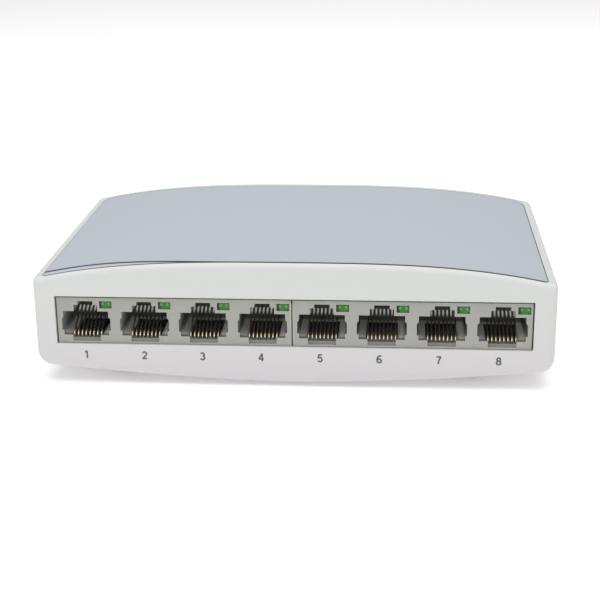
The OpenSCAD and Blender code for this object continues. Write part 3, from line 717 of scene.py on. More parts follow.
def outward(obj):
    """Turns every face of a closed mesh to point outwards."""
    work = bmesh.new()
    work.from_mesh(obj.data)
    bmesh.ops.recalc_face_normals(work, faces=work.faces)
    work.to_mesh(obj.data)
    work.free()


def lathe(name, profile, centre, steps=48, axis="Z"):
    """A turned solid: the profile is a list of (radius, height) from the axis round and back to it."""
    points, faces, rings = [], [], []
    for radius, height in profile:
        angles = [2 * math.pi * i / steps for i in range(steps if radius > 0 else 1)]
        rings.append(range(len(points), len(points) + len(angles)))
        points += [Vector((radius * math.cos(a), radius * math.sin(a), height)) for a in angles]
    for below, above in zip(rings, rings[1:]):
        for i in range(steps):
            j = (i + 1) % steps
            corners = [ring[k % len(ring)] for ring, k in ((below, i), (below, j), (above, j), (above, i))]
            faces.append(tuple(dict.fromkeys(corners)))
    spin = Matrix.Rotation(math.radians(-90), 4, "X") if axis == "Y" else Matrix.Identity(4)
    obj = from_points(name, [spin @ p + Vector(centre) for p in points], faces)
    outward(obj)
    return obj


def from_cad(node, name, cuts=(), whole=True):
    """A copy of a CAD node, with its loose triangles merged into whole flat faces, split along the cuts."""
    obj = add_object(name, frame["nodes"][node].data.copy())
    work = bmesh.new()
    work.from_mesh(obj.data)
    bmesh.ops.remove_doubles(work, verts=work.verts, dist=WELD)
    for point, normal in cuts:
        parts = [*work.verts, *work.edges, *work.faces]
        found = bmesh.ops.bisect_plane(work, geom=parts, dist=SEAM, plane_co=point, plane_no=normal)
        for edge in found["geom_cut"]:
            if isinstance(edge, bmesh.types.BMEdge):
                edge.seam = True
    if whole:
        bmesh.ops.dissolve_limit(work, angle_limit=FLAT, verts=work.verts, edges=work.edges, delimit={"SEAM"})
    work.to_mesh(obj.data)
    work.free()
    return obj


def smooth(obj, edge=0.0, steps=2):
    """Smooth shading, with sharp edges broken by a small bevel."""
    obj.data.polygons.foreach_set("use_smooth", [True] * len(obj.data.polygons))
    if edge:
        bevel = obj.modifiers.new("edges", "BEVEL")
        bevel.width = edge
        bevel.segments = steps
        bevel.limit_method = "ANGLE"
        bevel.angle_limit = SHARP
        bevel.miter_outer = "MITER_ARC"
    normals = obj.modifiers.new("normals", "WEIGHTED_NORMAL")
    normals.weight = 60
    normals.keep_sharp = True
    return obj


def break_face_edges(obj, edge):
    """Rounds only the sharp edges that lie in the sockets' face, with the piece's second material on them."""
    work = bmesh.new()
    work.from_mesh(obj.data)
    weights = work.edges.layers.float.new("bevel_weight_edge")
    for e in work.edges:
        in_face = all(abs(v.co.y - FACE_Y) < IN_FACE for v in e.verts)
        if in_face and e.is_manifold and e.calc_face_angle() > SHARP:
            e[weights] = 1.0
    work.to_mesh(obj.data)
    work.free()
    bevel = obj.modifiers.new("face edges", "BEVEL")
    bevel.width = edge
    bevel.segments = 2
    bevel.limit_method = "WEIGHT"
    bevel.material = 1
    obj.modifiers.move(len(obj.modifiers) - 1, 0)
    return obj


def join(name, pieces):
    """One object that holds the meshes of several, which are removed."""
    work = bmesh.new()
    for piece in pieces:
        work.from_mesh(piece.data)
    mesh = bpy.data.meshes.new(name)
    work.to_mesh(mesh)
    work.free()
    for piece in pieces:
        bpy.data.objects.remove(piece)
    return add_object(name, mesh)


def dress(obj, finish_name, slot, *nodes, body=BODY):
    """Gives a piece its material and its body, and hides the CAD nodes that it stands for."""
    obj.data.materials.clear()
    obj.data.materials.append(finish(finish_name))
    obj.data.polygons.foreach_set("material_index", [0] * len(obj.data.polygons))
    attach(obj, body)
    if nodes:
        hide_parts(*nodes)
    return obj


def bare(material, *nodes):
    """A CAD node that stays gets a finished material."""
    for node in nodes:
        data = frame["nodes"][node].data
        data.materials.clear()
        data.materials.append(finish(material))


# ---------------------------------------------------------------- node trees for geometry

class Tree(Nodes):
    """A geometry node tree with named inputs."""

    def __init__(self, name):
        self.tree = bpy.data.node_groups.new(name, "GeometryNodeTree")
        self.tree.interface.new_socket("Geometry", in_out="INPUT", socket_type="NodeSocketGeometry")
        self.tree.interface.new_socket("Geometry", in_out="OUTPUT", socket_type="NodeSocketGeometry")
        self.source = self.tree.nodes.new("NodeGroupInput")
        self.result = self.tree.nodes.new("NodeGroupOutput")

    def input(self, name, kind, default=None):
        """Adds a named input and returns it as a Value."""
        socket = self.tree.interface.new_socket(name, in_out="INPUT", socket_type=kind)
        if default is not None:
            socket.default_value = default
        return Value(self.tree, self.source.outputs[name])

    def vector(self, **parts):
        """A vector from its parts, called X, Y and Z."""
        return self.node("ShaderNodeCombineXYZ", None, parts)

    def moved(self, geometry, offset, turned=(0, 0, 0)):
        inputs = {"Geometry": geometry, "Translation": offset, "Rotation": turned}
        return self.node("GeometryNodeTransform", None, inputs)

    def joined(self, *pieces):
        """Several geometries as one."""
        node = self.tree.nodes.new("GeometryNodeJoinGeometry")
        for piece in pieces:
            feed(self.tree, node.inputs[0], piece)
        return Value(self.tree, node.outputs[0])

    def finish(self, geometry, material):
        """Ends the tree in real, smooth geometry with its material."""
        real = self.node("GeometryNodeRealizeInstances", None, {"Geometry": geometry})
        soft = self.node("GeometryNodeSetShadeSmooth", None, {"Geometry": real})
        done = self.node("GeometryNodeSetMaterial", None, {"Geometry": soft, "Material": material})
        self.tree.links.new(done.socket, self.result.inputs["Geometry"])


def grow(name, tree, inputs, points=((0, 0, 0),)):
    """Runs a geometry tree on a mesh of loose points and keeps the result as a plain mesh."""
    obj = from_points(name, points, [])
    modifier = obj.modifiers.new("shape", "NODES")
    modifier.node_group = tree
    identifiers = {s.name: s.identifier for s in tree.interface.items_tree if s.in_out == "INPUT"}
    for key, value in inputs.items():
        modifier[identifiers[key]] = value
    bake(obj)
    if not obj.data.polygons:
        raise RuntimeError(f"{name} came out empty")
    return obj


WIRE_POINTS = 41


def contact_tree():
    """A row of bent wires: an arc at the front, then a straight leg that rises to the back."""
    tree = Tree("contact row")
    count = tree.input("Count", "NodeSocketInt", 8)
    pitch = tree.input("Pitch", "NodeSocketFloat", MM)
    bend = tree.input("Bend Radius", "NodeSocketFloat", MM)
    wire = tree.input("Wire Radius", "NodeSocketFloat", MM)
    rise = tree.input("Rise", "NodeSocketFloat", 0.5)
    reach = tree.input("Reach", "NodeSocketFloat", MM)
    place = tree.input("Place", "NodeSocketVector")
    material = tree.input("Material", "NodeSocketMaterial")

    line = tree.node("GeometryNodeMeshLine", {"mode": "OFFSET"}, {"Count": WIRE_POINTS})
    index = tree.node("GeometryNodeInputIndex")
    arc_length = bend * (math.pi - rise)
    travelled = index / (WIRE_POINTS - 1) * (arc_length + reach)
    on_arc = travelled.math("MINIMUM", travelled, arc_length)
    beyond = travelled - on_arc
    angle = -math.pi / 2 - on_arc / bend
    along = bend * angle.math("COSINE", angle) + beyond * rise.math("COSINE", rise)
    up = bend * angle.math("SINE", angle) + beyond * rise.math("SINE", rise)
    spot = tree.vector(Y=along, Z=up)
    bent = tree.node("GeometryNodeSetPosition", None, {"Geometry": line, "Position": spot})
    path = tree.node("GeometryNodeMeshToCurve", None, {"Mesh": bent})
    ring = tree.node("GeometryNodeCurvePrimitiveCircle", None, {"Resolution": 12, "Radius": wire})
    tube = tree.node("GeometryNodeCurveToMesh", None, {"Curve": path, "Profile Curve": ring, "Fill Caps": True})

    start = tree.vector(X=(count - 1) * pitch * -0.5)
    first = tree.node("ShaderNodeVectorMath", {"operation": "ADD"}, {0: start, 1: place})
    inputs = {"Count": count, "Start Location": first, "Offset": tree.vector(X=pitch)}
    row = tree.node("GeometryNodeMeshLine", {"mode": "OFFSET"}, inputs)
    wires = tree.node("GeometryNodeInstanceOnPoints", None, {"Points": row, "Instance": tube})
    tree.finish(wires, material)
    return tree.tree


DOMING = 0.22
CROSS_LENGTH, CROSS_WIDTH = 1.1, 0.24
CORE = 0.86
THREADED, PLAIN = 0.85, 0.12


def screw_tree():
    """Pan-head screws with a cross recess and a rolled thread, one on each point of the mesh."""
    tree = Tree("screws")
    head_radius = tree.input("Head Radius", "NodeSocketFloat", 2.4 * MM)
    head_height = tree.input("Head Height", "NodeSocketFloat", 1.5 * MM)
    shank_radius = tree.input("Shank Radius", "NodeSocketFloat", 1.25 * MM)
    shank_length = tree.input("Shank Length", "NodeSocketFloat", 9 * MM)
    thread_pitch = tree.input("Thread Pitch", "NodeSocketFloat", 0.9 * MM)
    turned = tree.input("Turn", "NodeSocketVector")
    material = tree.input("Material", "NodeSocketMaterial")

    inputs = {"Vertices": 48, "Side Segments": 6, "Radius": head_radius, "Depth": head_height}
    head = tree.node("GeometryNodeMeshCylinder", None, inputs)
    x, y, z = tree.split(tree.node("GeometryNodeInputPosition"))
    low = (z / head_height * -1 + 0.5).clamped()
    dome = 1 - low * low * DOMING
    spot = tree.vector(X=x * dome, Y=y * dome, Z=z - head_height * 0.5)
    pan = tree.node("GeometryNodeSetPosition", None, {"Geometry": head, "Position": spot})
    size = tree.vector(X=head_radius * CROSS_LENGTH, Y=head_radius * CROSS_WIDTH, Z=head_height * 1.1)
    slot = tree.node("GeometryNodeMeshCube", None, {"Size": size})
    drop = tree.vector(Z=head_height * -1)
    cross = tree.joined(*[tree.moved(slot, drop, (0, 0, spin)) for spin in (0, math.pi / 2)])
    inputs = {"Mesh 1": pan, "Mesh 2": cross, "Self Intersection": True}
    slotted = tree.node("GeometryNodeMeshBoolean", {"operation": "DIFFERENCE", "solver": "EXACT"}, inputs)

    core_radius = shank_radius * CORE
    inputs = {"Vertices": 32, "Radius": core_radius, "Depth": shank_length}
    core = tree.node("GeometryNodeMeshCylinder", None, inputs)
    shank = tree.moved(core, tree.vector(Z=shank_length * 0.5))
    spiral = tree.node("GeometryNodeCurveSpiral", None, {
        "Resolution": 20, "Rotations": shank_length / thread_pitch * THREADED, "Start Radius": core_radius,
        "End Radius": core_radius, "Height": shank_length * THREADED})
    inputs = {"Resolution": 4, "Radius": shank_radius * (1 - CORE)}
    crest = tree.node("GeometryNodeCurvePrimitiveCircle", None, inputs)
    inputs = {"Curve": spiral, "Profile Curve": crest, "Fill Caps": True}
    thread = tree.node("GeometryNodeCurveToMesh", None, inputs)
    raised = tree.moved(thread, tree.vector(Z=shank_length * PLAIN))
    points = Value(tree.tree, tree.source.outputs["Geometry"])
    inputs = {"Points": points, "Instance": tree.joined(slotted, shank, raised), "Rotation": turned}
    tree.finish(tree.node("GeometryNodeInstanceOnPoints", None, inputs), material)
    return tree.tree


# ---------------------------------------------------------------- the housing's outline

SHOULDER_LEAST = 0.3 * MM
PAST = 1 * MM


def dome_height(s, x, inset=0.0):
    """Height of the domed top at x."""
    return s.crown - inset - s.crown_rise * (abs(x) / (s.width / 2 - s.shoulder_radius)) ** s.crown_power


def belly_height(s, x, inset=0.0):
    """Height of the bowed underside at x."""
    reach = min(1.0, abs(x) / (s.width / 2 - s.corner_radius))
    return s.belly + inset + s.belly_rise * reach ** s.belly_power


def arc(centre, radius, start, end, steps):
    """Points of an arc, from one angle to another."""
    angles = [start + (end - start) * i / steps for i in range(steps + 1)]
    return [(centre[0] + radius * math.cos(a), centre[1] + radius * math.sin(a)) for a in angles]


def right_half(s, inset):
    """The housing's section from the middle of the underside, up the right side, to the middle of the top."""
    half = s.width / 2
    belly_slope = math.atan(s.belly_rise * s.belly_power / (half - s.corner_radius))
    crown_slope = math.atan(s.crown_rise * s.crown_power / (half - s.shoulder_radius))
    corner_x = half - s.corner_radius
    corner_r = s.corner_radius - inset
    corner = (corner_x, belly_height(s, corner_x, inset) + corner_r)
    shoulder_r = max(SHOULDER_LEAST, s.shoulder_radius - inset)
    shoulder_x = half - inset - shoulder_r
    shoulder = (shoulder_x, dome_height(s, shoulder_x, inset) - shoulder_r)
    low_arc = arc(corner, corner_r, -math.pi / 2 + belly_slope, 0, s.round_steps)
    high_arc = arc(shoulder, shoulder_r, 0, math.pi / 2 - crown_slope, s.round_steps)
    low_x = [low_arc[0][0] * i / s.curve_steps for i in range(s.curve_steps)]
    high_x = [high_arc[-1][0] * i / s.curve_steps for i in range(s.curve_steps - 1, -1, -1)]
    low = [(x, belly_height(s, x, inset)) for x in low_x]
    high = [(x, dome_height(s, x, inset)) for x in high_x]
    return low + low_arc + high_arc + high


def whole_section(s, inset, narrow):
    """The whole section, drawn in by inset and narrowed so that its sides are drawn in by narrow."""
    scale = (s.width / 2 - narrow) / (s.width / 2 - inset)
    half = [(x * scale, z) for x, z in right_half(s, inset)]
    return half + [(-x, z) for x, z in half[-2:0:-1]]


def outer_solid(s):
    """The closed outer form: sections drawn in at both faces and narrowed round the back corners."""
    edge, corner = s.edge_radius, s.back_corner
    rings = []
    for i in range(s.round_steps + 1):
        angle = math.pi / 2 * i / s.round_steps
        inset = edge * (1 - math.sin(angle))
        rings.append((-s.depth / 2 + edge * (1 - math.cos(angle)), inset, inset))
    back_steps = 2 * s.round_steps
    for i in range(back_steps, -1, -1):
        angle = math.pi / 2 * i / back_steps
        depth = corner * (1 - math.cos(angle))
        inset = edge - math.sqrt(edge ** 2 - max(0.0, edge - depth) ** 2)
        rings.append((s.depth / 2 - depth, inset, corner * (1 - math.sin(angle))))
    sections = [[(x, y, z) for x, z in whole_section(s, inset, narrow)] for y, inset, narrow in rings]
    n = len(sections[0])
    points = [p for ring in sections for p in ring]
    faces = [tuple(range(n)), tuple(range(len(points) - 1, len(points) - n - 1, -1))]
    for k in range(0, len(points) - n, n):
        faces += [(k + i, k + n + i, k + n + (i + 1) % n, k + (i + 1) % n) for i in range(n)]
    obj = from_points("housing_shell", points, faces)
    outward(obj)
    return obj


def panel_plan(s, p, gap, lean=0.0):
    """The panel's plan, less a gap all round: larger corners at the back, and close points along the front."""
    half_w = s.width / 2 - p.rim_side - gap
    near, far = p.rim_front + gap - s.depth / 2, s.depth / 2 - p.rim_back - gap
    points = []
    for quarter, (sx, sy) in enumerate(((1, 1), (-1, 1), (-1, -1), (1, -1))):
        corner = p.back_corner if sy > 0 else p.front_corner
        centre = (sx * (half_w - corner) - lean, far - corner if sy > 0 else near + corner)
        start = quarter * math.pi / 2
        points += arc(centre, corner, start, start + math.pi / 2, s.round_steps)
    start, end = points[-s.round_steps - 2], points[-s.round_steps - 1]
    steps = 2 * s.curve_steps
    front = [(start[0] + (end[0] - start[0]) * i / steps, start[1]) for i in range(1, steps)]
    return points[:-s.round_steps - 1] + front + points[-s.round_steps - 1:]


def film_plan(s, p):
    """The film's plan: its front edge lies behind the panel's, and sweeps further back at its left end."""
    front = p.rim_front + p.gap - s.depth / 2
    points = []
    for x, y in panel_plan(s, p, p.gap, p.lean):
        t = max(0.0, min(1.0, (-x - p.sweep_start) / (p.sweep_end - p.sweep_start)))
        points.append((x, max(y, front + p.film_back + p.film_sweep * eased(t))))
    return points


def dome_slab(s, name, depth, thickness, reach):
    """A slab that follows the dome, from depth below it down by thickness."""
    xs = [reach * i / s.curve_steps for i in range(-s.curve_steps, s.curve_steps + 1)]
    top = [(x, dome_height(s, x, depth)) for x in xs]
    outline = top + [(x, z - thickness) for x, z in reversed(top)]
    return prism(name, outline, -s.depth / 2, s.depth / 2, along_y)


def dome_plate(name, depth, thickness, plan):
    """A plate of the given plan that follows the dome."""
    s, p = bpy.context.scene.switch_housing, bpy.context.scene.switch_panel
    reach = s.width / 2 - p.rim_side
    slab = dome_slab(s, name, depth, thickness, reach)
    return combine(slab, prism("plan", plan, 0, s.crown + 10 * PAST, along_z), "INTERSECT")


# ---------------------------------------------------------------- operators: the pieces

class SWITCH_OT_housing(bpy.types.Operator):
    """Makes the white housing shell with its openings, vents, pocket and screw posts"""

    bl_idname = "switch.housing"
    bl_label = "Housing"

    def execute(self, context):
        s, p = context.scene.switch_housing, context.scene.switch_panel
        shell = outer_solid(s)
        inner = [(x, dome_height(s, x, s.wall)) for x in self.inner_places(s)]
        outline = [(inner[0][0], -s.wall)] + inner + [(inner[-1][0], -s.wall)]
        hollow = prism("hollow", outline, -s.depth / 2 + s.wall, s.depth / 2 - s.wall, along_y)
        combine(shell, hollow, "DIFFERENCE")
        combine(shell, boxes("openings", self.openings(s)), "DIFFERENCE")
        combine(shell, dome_plate("pocket", -PAST, p.pocket_depth + PAST, panel_plan(s, p, 0)), "DIFFERENCE")
        combine(shell, self.posts(s), "UNION")
        smooth(shell, s.lip)
        dress(shell, "housing", "white_plastic", "top_cover")
        return {"FINISHED"}

    @staticmethod
    def inner_places(s):
        reach = s.width / 2 - s.wall
        return [reach * i / s.curve_steps for i in range(-s.curve_steps, s.curve_steps + 1)]

    @staticmethod
    def openings(s):
        """The front opening round the socket blocks, the one round the inlet, and the vents in the back."""
        left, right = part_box("socket_block_left")[0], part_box("socket_block_right")[1]
        low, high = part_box("inlet_housing")
        front, back = -s.depth / 2, s.depth / 2
        inner, outer = back - s.wall - PAST, back + PAST
        gap, below, above = 0.26 * MM, 0.1 * MM, 0.54 * MM
        sockets_low = (left.x - gap, front - PAST, left.z - below)
        sockets_high = (right.x + gap, front + s.wall + PAST, right.z + above)
        inlet_low, inlet_high = (low.x - gap, inner, low.z - gap), (high.x + gap, outer, high.z + gap)
        cuts = [(sockets_low, sockets_high), (inlet_low, inlet_high)]
        half = s.vent_width / 2
        for i in range(s.vents):
            x = s.vent_pitch * i - s.first_vent
            cuts.append(((x - half, inner, s.vent_foot), (x + half, outer, s.vent_head)))
        return cuts

    @staticmethod
    def posts(s):
        """The four posts that the case screws turn into, each with its bore."""
        bore, depth, overlap = 1.25 * MM, 8 * MM, 0.8 * MM
        top = s.post_foot + depth
        posts = []
        for x, y in islands("case_screws"):
            roof = dome_height(s, x, s.wall) + overlap
            profile = [(0, top), (bore, top), (bore, s.post_foot)]
            profile += [(s.post_radius, s.post_foot), (s.post_radius, roof), (0, roof)]
            posts.append(lathe("post", profile, (x, y, 0), 32))
        return join("posts", posts)


class SWITCH_OT_panel(bpy.types.Operator):
    """Makes the silver-blue panel and the film laid slightly askew on it"""

    bl_idname = "switch.panel"
    bl_label = "Top panel"

    def execute(self, context):
        s, p = context.scene.switch_housing, context.scene.switch_panel
        plate = dome_plate("panel_plate", p.pocket_depth - p.plate, p.plate, panel_plan(s, p, p.gap, p.lean))
        dress(smooth(plate, edge=0.1 * MM), "panel", "panel", "top_panel")
        film_depth = p.pocket_depth - p.plate - p.film
        film = dome_plate("panel_film", film_depth, p.film, film_plan(s, p))
        dress(smooth(film, edge=0.03 * MM), "film", "film", "top_film")
        return {"FINISHED"}


class SWITCH_OT_base(bpy.types.Operator):
    """Makes the bottom cover and its rubber feet"""

    bl_idname = "switch.base"
    bl_label = "Bottom cover and feet"

    def execute(self, context):
        cover = from_cad("bottom_cover", "base_cover")
        dress(smooth(cover, edge=0.12 * MM), "base", "white_plastic", "bottom_cover")
        for row in ("front", "back"):
            for side in ("left", "right"):
                self.foot(f"foot_{row}_{side}")
        return {"FINISHED"}

    @staticmethod
    def foot(node):
        low, centre, size = extent(node)
        radius, height = size.x / 2, size.z
        round_r = 0.5 * MM
        hollow_r, hollow = radius * 0.55, 0.25 * MM
        profile = [(0, hollow), (hollow_r * 0.8, hollow), (hollow_r, 0)]
        profile += [(radius - round_r + x, round_r + z) for x, z in arc((0, 0), round_r, -math.pi / 2, 0, 6)]
        profile += [(radius, height), (0, height)]
        foot = lathe(node + "_pad", profile, (centre.x, centre.y, low.z))
        dress(smooth(foot), "rubber", "rubber", node)


class SWITCH_OT_screws(bpy.types.Operator):
    """Makes the screws of the housing and of the board"""

    bl_idname = "switch.screws"
    bl_label = "Screws"

    def execute(self, context):
        tree = screw_tree()
        head = 1.5 * MM
        for node, upright in (("case_screws", True), ("board_screws", False)):
            low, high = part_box(node)
            seat = low.z + head if upright else high.z - head
            inputs = {
                "Head Height": head,
                "Shank Length": high.z - low.z - head,
                "Turn": (0.0 if upright else math.pi, 0.0, 0.0),
                "Material": finish("zinc"),
            }
            points = [(x, y, seat) for x, y in islands(node)]
            dress(grow(node[:-1] + "_set", tree, inputs, points), "zinc", "screw_steel", node)
        return {"FINISHED"}


def islands(node):
    """The middle, seen from above, of each separate solid in a CAD node."""
    work = bmesh.new()
    work.from_mesh(frame["nodes"][node].data)
    bmesh.ops.remove_doubles(work, verts=work.verts, dist=WELD)
    left, found = set(work.verts), []
    while left:
        waiting, group = [left.pop()], []
        while waiting:
            vertex = waiting.pop()
            group.append(vertex.co)
            near = {edge.other_vert(vertex) for edge in vertex.link_edges} & left
            left -= near
            waiting += near
        low, high = ([pick(c[i] for c in group) for i in range(2)] for pick in (min, max))
        found.append((low, high))
    work.free()
    found.sort(key=lambda pair: [round(c, 6) for c in pair[0]])
    return [((low[0] + high[0]) / 2, (low[1] + high[1]) / 2) for low, high in found]


class SWITCH_OT_sockets(bpy.types.Operator):
    """Makes the two socket blocks and finishes the fixed tails of their contacts"""

    bl_idname = "switch.sockets"
    bl_label = "Socket blocks"

    def execute(self, context):
        edge = context.scene.switch_socket.edge
        for side, ports in (("left", PORTS[:4]), ("right", PORTS[4:])):
            cuts = []
            for port in ports:
                light = box_middle(f"port_{port}_light")
                cuts += [(box_middle(f"port_{port}_contacts"), (1, 0, 0)), (light, (1, 0, 0))]
            cuts.append((light, (0, 0, 1)))
            block = from_cad(f"socket_block_{side}", f"sockets_{side}", cuts)
            dress(break_face_edges(smooth(block), edge), "socket", "socket_plastic", f"socket_block_{side}")
            # The second material paints a highlight on the rounded edges of the face.
            block.data.materials.append(finish("socket_edge_highlight"))
            bare("contact", f"contact_tails_{side}")
        return {"FINISHED"}


class SWITCH_OT_contacts(bpy.types.Operator):
    """Makes the row of sprung contacts in each socket"""

    bl_idname = "switch.contacts"
    bl_label = "Contacts"

    def execute(self, context):
        s = context.scene.switch_socket
        tree = contact_tree()
        for port in PORTS:
            body = f"port_{port}_springs"
            inputs = {
                "Count": s.wires,
                "Pitch": s.pitch,
                "Bend Radius": s.bend,
                "Wire Radius": s.wire,
                "Rise": s.rise,
                "Reach": s.reach,
                "Place": HINGES[body],
                "Material": finish("contact"),
            }
            row = grow(f"port_{port}_wires", tree, inputs)
            dress(row, "contact", "contact_gold", f"port_{port}_contacts", body=body)
        return {"FINISHED"}


class SWITCH_OT_lights(bpy.types.Operator):
    """Makes the green window of each socket's status light"""

    bl_idname = "switch.lights"
    bl_label = "Status lights"

    def execute(self, context):
        for port in PORTS:
            node = f"port_{port}_light"
            window = boxes(f"port_{port}_window", [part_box(node)])
            outward(window)
            dress(smooth(window, edge=0.18 * MM, steps=3), "window", "green_lens", node)
        bare("tin", "light_leads")
        return {"FINISHED"}


class SWITCH_OT_numbers(bpy.types.Operator):
    """Prints the port numbers under the sockets"""

    bl_idname = "switch.numbers"
    bl_label = "Port numbers"

    def execute(self, context):
        s = context.scene.switch_socket
        digits = [self.digit(s, port) for port in PORTS]
        dress(join("port_numbers", digits), "ink", "socket_plastic")
        return {"FINISHED"}

    @staticmethod
    def digit(s, port):
        """One digit as thin strokes on the front face, centred under its socket."""
        shift = s.digit_shift + s.digit_drift * (port - 1) / (len(PORTS) - 1)
        x = box_middle(f"port_{port}_contacts").x - shift - DIGIT_MIDDLE[0] * s.digit_height
        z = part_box("socket_block_left")[0].z - s.digit_drop - DIGIT_MIDDLE[1] * s.digit_height
        half = s.digit_weight * s.digit_height / 2
        strokes = []
        for i, pieces in enumerate(DIGIT_STROKES[port]):
            front = COVER_LOW.y - INK_PROUD - INK_STEP * i
            line = [(x + a * s.digit_height, z + b * s.digit_height) for a, b in stroke_line(pieces)]
            strokes.append(ribbon("stroke", line, half, front, COVER_LOW.y + INK_ROOT))
        return join("digit", strokes)


DIGIT_MIDDLE = (0.31, 0.5)
INK_PROUD, INK_STEP, INK_ROOT = 0.02 * MM, 0.002 * MM, 0.05 * MM
ARC_STEPS = 24

# A stroke has points (across, up) and arcs (middle across, middle up, half width, half height, from, to).
DIGIT_STROKES = {
    1: (((0.08, 0.75), (0.34, 0.93)), ((0.34, 0.0), (0.34, 1.0))),
    2: (((0.31, 0.69, 0.23, 0.235, 170, -35), (0.08, 0.08)), ((0.04, 0.07), (0.58, 0.07))),
    3: (((0.29, 0.72, 0.21, 0.205, 160, -85),), ((0.29, 0.295, 0.25, 0.225, 90, -160),)),
    4: (((0.42, 0.95), (0.05, 0.31)), ((0.44, 0.0), (0.44, 1.0)), ((0.02, 0.28), (0.62, 0.28))),
    5: (((0.14, 0.93), (0.54, 0.93)), ((0.17, 0.98), (0.10, 0.46)), ((0.30, 0.33, 0.25, 0.26, 140, -155),)),
    6: (((0.31, 0.30, 0.24, 0.235, 0, 360),), ((0.40, 0.42, 0.33, 0.51, 190, 60),)),
    7: (((0.05, 0.93), (0.58, 0.93)), ((0.56, 0.91), (0.39, 0.62), (0.29, 0.32), (0.25, 0.0))),
    8: (((0.31, 0.72, 0.20, 0.205, 0, 360),), ((0.31, 0.285, 0.245, 0.22, 0, 360),)),
}


def stroke_line(pieces):
    """The points of a stroke, with its arcs divided into short steps."""
    line = []
    for piece in pieces:
        if len(piece) == 2:
            line.append(piece)
            continue
        cx, cz, rx, rz, start, end = piece
        angles = [math.radians(start + (end - start) * i / ARC_STEPS) for i in range(ARC_STEPS + 1)]
        line += [(cx + rx * math.cos(a), cz + rz * math.sin(a)) for a in angles]
    return line


def ribbon(name, line, half, front, back):
    """A flat band of the given half width along a line in the XZ plane, between two depths."""
    closed = math.dist(line[0], line[-1]) < WELD
    if closed:
        line = line[:-1]
    n = len(line)
    points = []
    for i, (x, z) in enumerate(line):
        before = line[i - 1] if closed or i else line[i]
        after = line[(i + 1) % n] if closed or i < n - 1 else line[i]
        run = math.dist(before, after)
        side = ((after[1] - before[1]) / run * half, -(after[0] - before[0]) / run * half)
        for y in (front, back):
            points += [(x + side[0], y, z + side[1]), (x - side[0], y, z - side[1])]
    faces = []
    for i in range(n if closed else n - 1):
        a, b = 4 * i, 4 * ((i + 1) % n)
        faces += [(a, b, b + 1, a + 1), (a + 2, a + 3, b + 3, b + 2)]
        faces += [(a, a + 2, b + 2, b), (a + 1, b + 1, b + 3, a + 3)]
    if not closed:
        last = 4 * (n - 1)
        faces += [(0, 1, 3, 2), (last, last + 2, last + 3, last + 1)]
    obj = from_points(name, points, faces)
    outward(obj)
    return obj


class SWITCH_OT_board(bpy.types.Operator):
    """Finishes the circuit board and everything soldered to it"""

    bl_idname = "switch.board"
    bl_label = "Circuit board"

    def execute(self, context):
        board = from_cad("circuit_board", "board_plate", whole=False)
        dress(board, "board", "board_laminate", "circuit_board")
        for m in range(1, 5):
            module = from_cad(f"magnetics_{m}", f"magnetics_{m}_case")
            dress(smooth(module, edge=0.25 * MM), "epoxy", "chip_black", f"magnetics_{m}")
        for node, name, look, slot, edge in (
            ("switch_chip", "chip_case", "epoxy", "chip_black", 0.2),
            ("heat_sink", "sink_body", "sink", "heat_sink_aluminium", 0.12),
            ("crystal", "crystal_can", "can", "can_steel", 0.4),
            ("power_inductor", "inductor_case", "epoxy", "chip_black", 0.3),
            ("thermal_pad", "sink_pad", "pad", "thermal_rubber", 0.08),
        ):
            piece = from_cad(node, name)
            dress(smooth(piece, edge * MM), look, slot, node)
        for i in (1, 2, 3):
            self.capacitor(f"capacitor_{i}")
        bare("tin", "magnetics_pins", "switch_chip_pins")
        bare("epoxy", "regulator", "chip_resistors")
        bare("ceramic", "chip_capacitors")
        return {"FINISHED"}

    @staticmethod
    def capacitor(node):
        """A can with a rolled groove near its foot and a rounded, slightly sunk top."""
        low, centre, size = extent(node)
        radius, height = size.x / 2 / 1.05, size.z
        foot_r, foot = radius * 1.04, 0.8 * MM
        groove_r, groove, half_groove = radius - 0.25 * MM, 2 * MM, 0.4 * MM
        round_r, sunk = 0.35 * MM, 0.2 * MM
        profile = [(0, 0), (foot_r, 0), (foot_r, foot), (radius, foot)]
        profile += [(radius, groove - half_groove), (groove_r, groove), (radius, groove + half_groove)]
        profile += arc((radius - round_r, height - round_r), round_r, 0, math.pi / 2, 5)
        profile += [(radius * 0.82, height), (radius * 0.78, height - sunk), (0, height - sunk)]
        can = lathe(node + "_can", profile, (centre.x, centre.y, low.z))
        dress(smooth(can), "sleeve", "capacitor_sleeve", node)


class SWITCH_OT_inlet(bpy.types.Operator):
    """Makes the power inlet at the back"""

    bl_idname = "switch.inlet"
    bl_label = "Power inlet"

    def execute(self, context):
        housing = from_cad("inlet_housing", "inlet_case")
        dress(smooth(housing, edge=0.15 * MM), "inlet", "inlet_plastic", "inlet_housing")
        self.pin()
        spring = from_cad("inlet_spring", "inlet_leaf")
        dress(smooth(spring, edge=0.05 * MM), "tin", "tin", "inlet_spring", body="inlet_sleeve_spring")
        bare("tin", "inlet_terminals")
        return {"FINISHED"}

    @staticmethod
    def pin():
        """The centre pin, with a rounded tip and a thicker root."""
        low, centre, size = extent("inlet_pin")
        root, tip = size.x / 2, size.y
        radius, exposed, round_r = 1 * MM, 8.5 * MM, 0.5 * MM
        profile = [(0, 0), (root, 0), (root, tip - exposed), (radius, tip - exposed)]
        profile += arc((radius - round_r, tip - round_r), round_r, 0, math.pi / 2, 6) + [(0, tip)]
        pin = lathe("inlet_core", profile, (centre.x, low.y, centre.z), axis="Y")
        dress(smooth(pin), "tin", "tin", "inlet_pin")


# ---------------------------------------------------------------- operator: the stage

